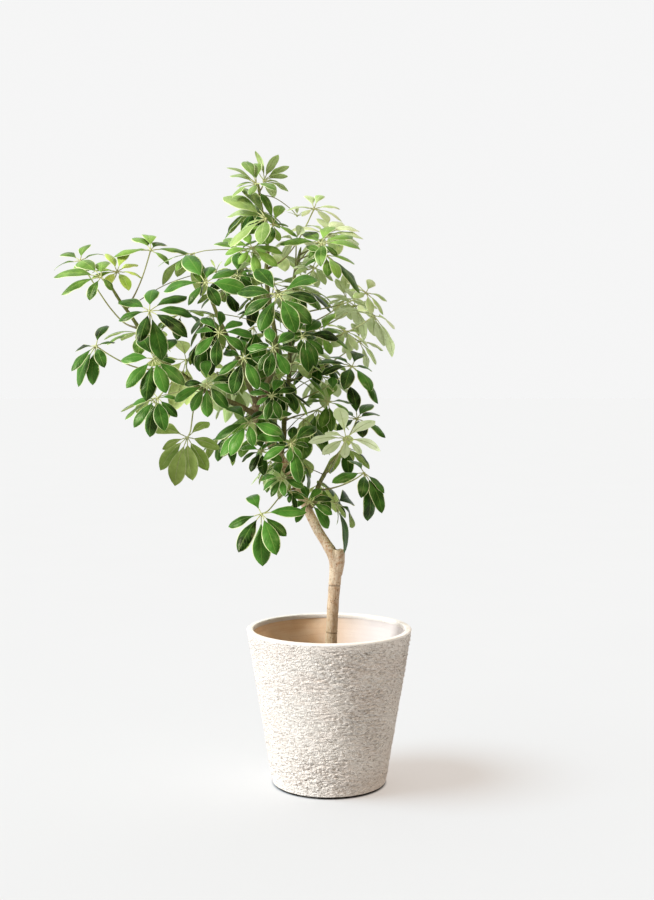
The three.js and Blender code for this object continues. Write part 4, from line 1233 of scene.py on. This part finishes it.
# Hidden leaves keep only this share of their tone, so they are painted darker: painted shade inside the
# crown.
INNER_PAINTED_SHADE = 0.45
STEM_CHANCES = (0.12, 0.2, 0.22, 0.22, 0.14, 0.1)
STALK_LENGTH, LEAFLET_LENGTH = (0.05, 0.13), (0.058, 0.08)
LEAFLET_FALL, LEAFLET_ARCH, LEAFLET_WIDTH = (0.3, 1.15), (0.05, 0.11), (0.17, 0.22)
# Where hidden leaves are mostly made pale, as painted light where the sun falls: from x, above height, and
# share.
SUNNY_FROM, SUNNY_ABOVE, SUNNY_SHARE = -0.02, 0.62, 0.65
INNER_KINDS = ("shade", "deep", "deep", "fresh", "fresh", "pale")


def level(turn):
    return np.array([math.cos(turn), math.sin(turn), 0])


def propose_leaf(chance):
    """A leaf that might be there: where it starts, its knob and its leaflets."""
    stem = list(STEM_LINES)[chance.choice(len(STEM_LINES), p=STEM_CHANCES)]
    path = STEM_LINES[stem]
    place = int((len(path) - 1) * chance.uniform(0.62 if stem == "trunk" else 0.06, 0.97))
    turn = chance.uniform(-0.35 * math.pi, 1.35 * math.pi)
    heading = unit(level(turn) + UP * chance.uniform(-0.15, 0.75))
    hub = path[place] + heading * chance.uniform(*STALK_LENGTH)
    count = int(chance.integers(6, 9))
    reach, fall = chance.uniform(*LEAFLET_LENGTH), chance.uniform(*LEAFLET_FALL)
    first = chance.uniform(0, 2 * math.pi)
    leaflets = []
    for i in range(count):
        around = first + (i + chance.uniform(-0.15, 0.15)) / count * 2 * math.pi
        out = unit(level(around) + 0.35 * heading * [1, 1, 0])
        drop = fall + chance.uniform(-0.2, 0.2) - 0.35 * out.dot(heading)
        aim = out * math.cos(drop) - UP * math.sin(drop)
        tip = hub + aim * reach * chance.uniform(0.8, 1.08)
        arch, width = chance.uniform(*LEAFLET_ARCH), chance.uniform(*LEAFLET_WIDTH)
        leaflets.append(leaflet_to(hub, tip, arch, width, 0.85, INNER_PAINTED_SHADE))
    return path[place], hub, leaflets


def has_room(start, hub, leaflets, chance):
    """The leaf's crossing tree if it may stay, or None. The crown's middle is the fullest."""
    u, v = picture_place(hub)
    central = CENTRE_LEFT < u < CENTRE_RIGHT and CENTRE_TOP < v < CENTRE_FOOT
    if hub[1] < FRONT_LIMIT or hub[2] < LOWEST_HUB or (not central and chance.uniform() < OUTER_LOSS):
        return None
    for place in [hub, *(leaflet["tip"] for leaflet in leaflets)]:
        inside = all(CAD_BOX[0][k] + BOX_ROOM < place[k] < CAD_BOX[1][k] - BOX_ROOM for k in range(3))
        if not inside or outline_cell(place) not in crown_cells:
            return None
    tree = crossing_tree(leaflets, [start * 0.85 + hub * 0.15, (start + hub) / 2, hub])
    for other_hub, other in grown:
        if np.linalg.norm(other_hub - hub) < NEAR_HUBS and tree.overlap(other):
            return None
    return tree if u > LEFT_LIMIT else None


print("a hidden leaf may start on", len(STEM_LINES), "stems, the trunk among them")

# %% Grow the hidden leaves
chance = random_for("inner")
inner_count = 0
for _ in range(INNER_TRIES):
    start, hub, leaflets = propose_leaf(chance)
    tree = has_room(start, hub, leaflets, chance)
    if tree is None:
        continue
    grown.append((hub, tree))
    inner_count += 1
    kind = INNER_KINDS[chance.integers(0, len(INNER_KINDS))]
    # High leaves on the right are mostly made pale: painted light where the sun falls.
    painted_sunlit = hub[0] > SUNNY_FROM and hub[2] > SUNNY_ABOVE
    kind = "pale" if painted_sunlit and chance.uniform() < SUNNY_SHARE else kind
    grow_extra_leaf(f"inner_leaf_{inner_count:02d}", start, hub, leaflets, kind, chance)
    if inner_count == INNER_LEAVES:
        break
print("hidden leaves:", inner_count)

# %% [markdown]
# ## The pot
# The pot is thrown clay. Its outside was brushed with a thick cream slip while the pot turned, which left
# short uneven ridges round it, with pits between, and smoother bands under the rim and at the foot. A
# finish alone can't show that where the light grazes, so the ridges are real: we lathe the profile in
# fine steps and push its points out and in by layers of noise that are stretched round the pot. Only the
# grains of sand and thin grooves along the brush strokes, which are finer than the steps, are left to the
# finish. The creases, the pits and the thin grooves are also painted darker, as painted shade. The inside
# is bare warm clay with the faint rings of throwing, and its right is painted paler, as painted light.
# Three drains with shallow channels are cut into the base at the end.

# %% The pot's profile
POT_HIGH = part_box("pot")[1]
RIM_RADIUS, POT_HEIGHT = POT_HIGH[0], POT_HIGH[2]
BASE_RADIUS = 0.096
POT_WALL = 0.0085
POT_FLOOR = 0.015
LIP_WIDTH = 0.0108
LIP_HEIGHT = 0.008
LIP_EDGE = 0.0022
FOOT_EDGE = 0.0031
FOOT_STEP = 0.0045
INSIDE_CORNER = 0.006
POT_COLUMNS = 330
WALL_ROWS = 250
OUTSIDE, LIP, INSIDE, UNDERSIDE = 0, 1, 2, 3


def pot_radius(z):
    return BASE_RADIUS + (RIM_RADIUS - BASE_RADIUS) * z / POT_HEIGHT


def round_corner(middle, radius, start, end, steps):
    turns = np.radians(np.linspace(start, end, steps))
    return [(middle[0] + radius * math.cos(t), middle[1] + radius * math.sin(t)) for t in turns]


def wall_rows(low, high, count, inwards=0.0):
    return [(pot_radius(z) - inwards, z) for z in np.linspace(low, high, count)]


def pot_profile():
    """Radii and heights from the middle of the underside, round the outside, to the middle inside."""
    under = [(r, 0.0) for r in (0.03, 0.055, 0.075, BASE_RADIUS - FOOT_STEP)]
    under += [(BASE_RADIUS - 0.9 * FOOT_STEP, 0.7 * FOOT_EDGE), (BASE_RADIUS - 0.3 * FOOT_STEP, FOOT_EDGE)]
    wall = wall_rows(1.25 * FOOT_EDGE, POT_HEIGHT - 1.6 * LIP_EDGE, WALL_ROWS)
    lip_inside, lip_middle = RIM_RADIUS - LIP_WIDTH, POT_HEIGHT - LIP_EDGE
    lip = round_corner((RIM_RADIUS - LIP_EDGE, lip_middle), LIP_EDGE, 15, 88, 6)
    lip += round_corner((lip_inside + LIP_EDGE, lip_middle), LIP_EDGE, 92, 178, 6)
    lip_under = POT_HEIGHT - LIP_HEIGHT
    lip += [(lip_inside, lip_under + 0.0015), (lip_inside + 0.0008, lip_under)]
    corner_height = POT_FLOOR + INSIDE_CORNER
    inner = wall_rows(lip_under - 0.001, corner_height, 20, POT_WALL)
    corner_radius = pot_radius(POT_FLOOR) - POT_WALL - INSIDE_CORNER
    inner += round_corner((corner_radius, corner_height), INSIDE_CORNER, -20, -88, 5)
    inner += [(r, POT_FLOOR) for r in (0.07, 0.05, 0.03)]
    stretches = ((UNDERSIDE, under), (OUTSIDE, wall), (LIP, lip), (INSIDE, inner))
    parts = [part for part, rows in stretches for _ in rows]
    return np.array(under + wall + lip + inner), np.array(parts)


pot_rows, pot_parts = pot_profile()
print("pot profile:", len(pot_rows), "rows, rim radius", round(float(RIM_RADIUS), 4))

# %% The slip's ridges and pits
RIDGE_LAYERS = [((60, 60, 250), 0.8, 3.0), ((120, 120, 420), 0.75, 11.0), ((230, 230, 600), 0.6, 29.0)]
GRAIN_SCALE = (260, 260, 380)
PIT_SCALE = (190, 190, 330)
WANDER_SCALE = (22, 22, 70)
WANDER = 0.0016
RIDGE_HEIGHT = 0.0014
GRAIN_HEIGHT = 0.0021
PIT_DEPTH = 0.0014
RIM_BAND, FOOT_BAND = (0.006, 0.012), (0.005, 0.014)
RING_STEP, RING_DEPTH = 0.011, 0.00018


def slip_relief(points):
    """How far the slip stands out at each point of the wall, and how deep the point lies in a crease or pit,
    which sets its painted shade.
    """
    heights = points[:, 2]
    waved = points + UP * (field(points, WANDER_SCALE, 41.0) * WANDER)[:, None]
    ridges = sum(share * field(waved, scales, layer) for scales, share, layer in RIDGE_LAYERS)
    ridges = np.clip(ridges, -0.75, 0.55)
    rough = np.clip(0.55 + 1.5 * field(points, (13, 13, 15), 57.0), 0.15, 1)
    grain = field(points, GRAIN_SCALE, 83.0)
    pits = np.clip((field(points, PIT_SCALE, 71.0) - 0.22) * 4, 0, 1) * rough
    under_rim = np.clip((POT_HEIGHT - heights - RIM_BAND[0]) / RIM_BAND[1], 0, 1)
    band = under_rim * np.clip((heights - FOOT_BAND[0]) / FOOT_BAND[1], 0, 1)
    strength = band * (0.7 + 0.3 * rough) + 0.08
    total = (RIDGE_HEIGHT * ridges + GRAIN_HEIGHT * grain * rough) * strength - PIT_DEPTH * pits * band
    return total, np.clip(0.8 * pits * band + 1.1 * np.clip(-ridges, 0, 1) * strength, 0, 1)


def throwing_rings(points):
    rings = np.sin(points[:, 2] * 2 * math.pi / RING_STEP + 3 * field(points, (9, 9, 9), 5.0))
    return RING_DEPTH * rings + 0.00025 * field(points, (60, 60, 160), 13.0)


print("layers of ridges:", len(RIDGE_LAYERS))

# %% Push the pot's points out and in
around = circle(1, POT_COLUMNS)
pot_points = (pot_rows[:, None, :1] * around + pot_rows[:, None, 1:] * UP).reshape(-1, 3)
point_part = np.repeat(pot_parts, POT_COLUMNS)
on_wall = (point_part == OUTSIDE) & (pot_points[:, 2] > 1.5 * FOOT_EDGE)
on_inner = (point_part == INSIDE) & (pot_points[:, 2] > POT_FLOOR + INSIDE_CORNER)
on_lip = point_part == LIP
# The second number of each wall point sets the painted shade of its crease or pit.
shift, painted_crease_shade = np.zeros((2, len(pot_points)))
shift[on_wall], painted_crease_shade[on_wall] = slip_relief(pot_points[on_wall])
shift[on_inner] = throwing_rings(pot_points[on_inner])
shift[on_lip] = 0.0004 * field(pot_points[on_lip], (45, 45, 90), 17.0)
pot_points += np.tile(around, (len(pot_rows), 1)) * shift[:, None]
print("ridges from", *(round(f(shift[on_wall]) * 1000, 2) for f in (np.min, np.max)), "mm")

# %% Finishes of the pot's outside
def slip_finish():
    finish = Finish("pot_slip", 0.86, 0.25)
    slip_crease_shade = finish.stored("across")
    fine = finish.grain((130, 130, 460), detail=4.0, rough=0.66)
    sand = finish.grain(420.0)
    cloud = finish.grain((16, 16, 30), detail=3.0)
    specks = dots_of(finish, (300, 300, 420), 0.1, 0.2)
    rare = finish.step(finish.grain((130, 130, 190)), 0.56, 0.66)
    shaded_grooves = finish.step(finish.grain((150, 150, 820)), 0.58, 0.68)
    finish.coat(
        finish.paints((cloud, 0.38, 0.64), (246, 239, 230), (243, 233, 223)),
        ((fine, 0.42, 0.75, 0.0, 0.5), (242, 236, 228)),
        ((fine, 0.22, 0.4, 0.2, 0.0), (208, 190, 168)),
        # Creases and pits are painted darker: painted shade.
        ((slip_crease_shade, 0.5, 0.9, 0.0, 0.18), (200, 178, 154)),
        (finish.times(specks, rare), (190, 168, 142)),
        # The thin grooves are painted dark: painted shade under the ridges.
        (finish.times(shaded_grooves, 0.45), (166, 146, 126)),
    )
    height = finish.minus(finish.plus(fine, finish.times(sand, 1.4)), finish.times(shaded_grooves, 0.6))
    finish.relief(finish.minus(height, finish.times(specks, 0.2)), 1.0, 0.003)
    return finish


def lip_finish():
    finish = Finish("pot_lip", 0.7, 0.3)
    fine = finish.grain((300, 300, 300), detail=3.0)
    cloud = finish.grain((30, 30, 60))
    finish.coat(
        finish.paints((cloud, 0.35, 0.65), (244, 240, 234), (240, 234, 225)),
        ((fine, 0.25, 0.45, 0.35, 0.0), (212, 194, 172)),
    )
    finish.relief(fine, 0.45, 0.0006)
    return finish


print("the wall's slip and the lip come first, then the bare clay")

# %% Finishes of the pot's inside and underside
def bare_clay_finish():
    """The inside: warm clay, painted paler over its right as painted light, where the main light falls."""
    finish = Finish("pot_bare_clay", 0.9, 0.2)
    fine = finish.grain((360, 360, 420), detail=3.0)
    rings = finish.grain((9, 9, 190), detail=3.0)
    cloud = finish.grain((26, 26, 40))
    painted_light_side = finish.node("SeparateXYZ", {0: finish.place(1.0)["Vector"]})
    finish.coat(
        finish.paints((cloud, 0.35, 0.65), (248, 218, 184), (242, 206, 166)),
        ((rings, 0.3, 0.46, 0.4, 0.0), (226, 184, 142)),
        ((fine, 0.24, 0.42, 0.25, 0.0), (216, 176, 138)),
        # The inside's right is painted paler: painted light where the main light falls on it.
        ((painted_light_side, -0.04, 0.085, 0.0, 0.95), (216, 210, 208)),
    )
    finish.relief(finish.plus(rings, finish.times(fine, 0.6)), 0.4, 0.0008)
    return finish


def grainy_finish(name, dark, light, roughness, gloss, scale, strength):
    """One fine grain between a dark and a light paint."""
    finish = Finish(name, roughness, gloss)
    fine = finish.grain(scale, detail=3.0)
    finish.coat(finish.paints((fine, 0.35, 0.68), dark, light))
    finish.relief(fine, strength, 0.0006)
    return finish


# The underside and the foot's bevel are painted dark: painted shade where the pot stands on the floor.
foot_shade_finish = grainy_finish("pot_foot_painted_shade", (38, 30, 24), (72, 58, 46), 0.95, 0.1, 240.0, 0.4)
POT_FINISHES = [slip_finish(), lip_finish(), bare_clay_finish(), foot_shade_finish]
print("pot finishes:", [finish.material.name for finish in POT_FINISHES])

# %% Lathe the pot and cut its drains
DRAIN_COUNT = 3
DRAIN_RADIUS = 0.009
DRAIN_SIDES = 24
DRAIN_FROM_AXIS = 0.062
SLOT_WIDTH = 0.038
SLOT_HEIGHT = 0.0035
SLOT_START = 0.05
SLOT_END = 0.14
SLOT_CORNERS = ((SLOT_START, -1), (SLOT_END, -1), (SLOT_END, 1), (SLOT_START, 1))
FIRST_SLOT_TURN = math.radians(-113)


def prism(outline, high):
    """A closed prism over an outline, from under the pot up to a height, for cutting."""
    shape = Shape()
    for height in (-0.01, high):
        shape.add_points([(x, y, height) for x, y, _ in outline])
    shape.join_rings(0, 2, len(outline))
    return shape.make("cutter", [])


def cut_away(piece, cutters):
    for cutter in cutters:
        cut = piece.modifiers.new("cut", "BOOLEAN")
        cut.operation = "DIFFERENCE"
        cut.solver = "EXACT"
        cut.object = cutter
    mesh = bpy.data.meshes.new_from_object(piece.evaluated_get(bpy.context.evaluated_depsgraph_get()))
    piece.modifiers.clear()
    piece.data = mesh
    for cutter in cutters:
        bpy.data.objects.remove(cutter)


pot = Shape()
pot.add_points(pot_points, across=painted_crease_shade)
pot.join_rings(0, len(pot_rows), POT_COLUMNS, pot_parts[1:])
pot_piece = pot.make("pot_thrown", POT_FINISHES)
cutters = []
for i in range(DRAIN_COUNT):
    turn = FIRST_SLOT_TURN + i / DRAIN_COUNT * 2 * math.pi
    ahead, side = level(turn), np.cross(UP, level(turn)) * SLOT_WIDTH / 2
    cutters.append(prism([ahead * out + side * way for out, way in SLOT_CORNERS], SLOT_HEIGHT))
    cutters.append(prism(ahead * DRAIN_FROM_AXIS + circle(DRAIN_RADIUS, DRAIN_SIDES), POT_FLOOR + 0.01))
cut_away(pot_piece, cutters)
dress(pot_piece, ["pot"], SLOT_OF["pot"])
shadow_makers.objects.link(pot_piece)
print("pot:", len(pot_piece.data.polygons), "faces")

# %% [markdown]
# ## Soil
# The pot is filled with dark, crumbly potting soil, a little mounded round the trunk and sunk at the wall.
# Crumbs, bits of bark and a few white grains of perlite lie in it. The soil is one body that is closed
# underneath, and the larger bits are small lumps that sit half in it.

# %% The soil's finishes and its surface
SOIL_LOW, SOIL_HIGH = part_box("soil")
SOIL_EDGE_DROP = 0.009
SOIL_SKIN, BARK_BIT, PERLITE = 0, 1, 2


def soil_finish():
    finish = Finish("potting_soil", 0.95, 0.15)
    crumbs = finish.cells(260.0)
    fine = finish.grain(420.0, detail=4.0, rough=0.7)
    finish.coat(
        finish.paints((fine, 0.35, 0.7), (38, 26, 18), (84, 62, 44)),
        ((crumbs, 0.1, 0.55, 0.5, 0.0), (104, 78, 54)),
    )
    finish.relief(finish.minus(fine, crumbs), 0.9, 0.0016)
    return finish


BIT_GRAIN = (500, 500, 220)
SOIL_FINISHES = [
    soil_finish(),
    grainy_finish("bark_bit", (70, 44, 26), (136, 98, 62), 0.85, 0.2, BIT_GRAIN, 0.6),
    grainy_finish("perlite_grain", (196, 190, 178), (236, 232, 222), 0.8, 0.2, BIT_GRAIN, 0.6),
]


def soil_surface(places):
    """The height of the soil over a place: mounded in the middle, sunk at the wall, crumbly all over."""
    out = np.linalg.norm(places[:, :2], axis=1) / SOIL_HIGH[0]
    base = SOIL_HIGH[2] - SOIL_EDGE_DROP * out**1.8
    flat = places * (1, 1, 0)
    crumbs = 0.0016 * field(flat, (70, 70, 1)) + 0.0012 * field(flat, (190, 190, 1), 4.0)
    crumbs += 0.0009 * np.abs(field(flat, (330, 330, 1), 9.0))
    return base + crumbs * np.clip((1 - out) * 14, 0, 1) - 0.0006


print("the soil reaches up to", round(float(SOIL_HIGH[2]), 3), "m")

# %% Make the soil
SOIL_RINGS = 74
SOIL_COLUMNS = 220
CRUMB_COUNT = 420
TRUNK_ROOM = 0.018
PERLITE_PART, BARK_PART = 0.18, 0.6
CRUMB_SIZE = (0.003, 0.009)
LUMP_CORNERS = np.array([(x, y, z) for z in (-1, 1) for x, y in ((-1, -1), (1, -1), (1, 1), (-1, 1))], float)
PERLITE_SHAPE = (0.6, 0.5, 0.5)
BARK_SHAPE = (1.0, 0.55, 0.32)


def lump(shape, middle, size, finish, chance):
    """A small angular lump: an eight-cornered body with uneven corners, in a turned place."""
    turn = chance.uniform(0, 2 * math.pi)
    tilt = chance.uniform(-0.5, 0.5)
    x, y, z = (LUMP_CORNERS * size / 2 * chance.uniform(0.65, 1.1, (8, 3))).T
    turned = x * math.cos(turn) - y * math.sin(turn)
    corners = [turned, x * math.sin(turn) + y * math.cos(turn), z + tilt * turned]
    shape.join_rings(shape.add_points(middle + np.stack(corners, 1)), 2, 4, finish)


soil = Shape()
outs = np.linspace(0, 1, SOIL_RINGS + 1)[1:] ** 0.8
top = np.concatenate([circle(SOIL_HIGH[0] * out, SOIL_COLUMNS) for out in outs])
upper_wall = top[-SOIL_COLUMNS:] + UP * (SOIL_HIGH[2] - SOIL_EDGE_DROP - 0.004)
top[:, 2] = soil_surface(top)
wall_foot = circle(pot_radius(POT_FLOOR) - POT_WALL - 0.0075, SOIL_COLUMNS, SOIL_LOW[2])
lower_wall = wall_foot * (1.065, 1.065, 1) + UP * 0.006
soil.add_points(np.concatenate([top, upper_wall, lower_wall, wall_foot]))
soil.join_rings(0, SOIL_RINGS + 3, SOIL_COLUMNS, SOIL_SKIN)
chance = random_for("crumbs")
for _ in range(CRUMB_COUNT):
    out = SOIL_HIGH[0] * 0.95 * math.sqrt(chance.uniform(0.03, 1))
    place = out * level(chance.uniform(0, 2 * math.pi))
    size = chance.uniform(*CRUMB_SIZE)
    is_perlite = chance.uniform() < PERLITE_PART
    if out > TRUNK_ROOM:
        kind = PERLITE if is_perlite else BARK_BIT if chance.uniform() < BARK_PART else SOIL_SKIN
        place[2] = soil_surface(place[None])[0] + 0.12 * size
        lump(soil, place, size * np.array(PERLITE_SHAPE if is_perlite else BARK_SHAPE), kind, chance)
soil_piece = dress(soil.make("soil_filled", SOIL_FINISHES), ["soil"], SLOT_OF["soil"])
print("soil:", len(soil_piece.data.polygons), "faces")

# %% [markdown]
# ## Last step
# The scene is brought up to date. The plant may not grow past the solids it dresses by more than a
# whisker.

# %% Bring the scene up to date
bpy.context.view_layer.update()
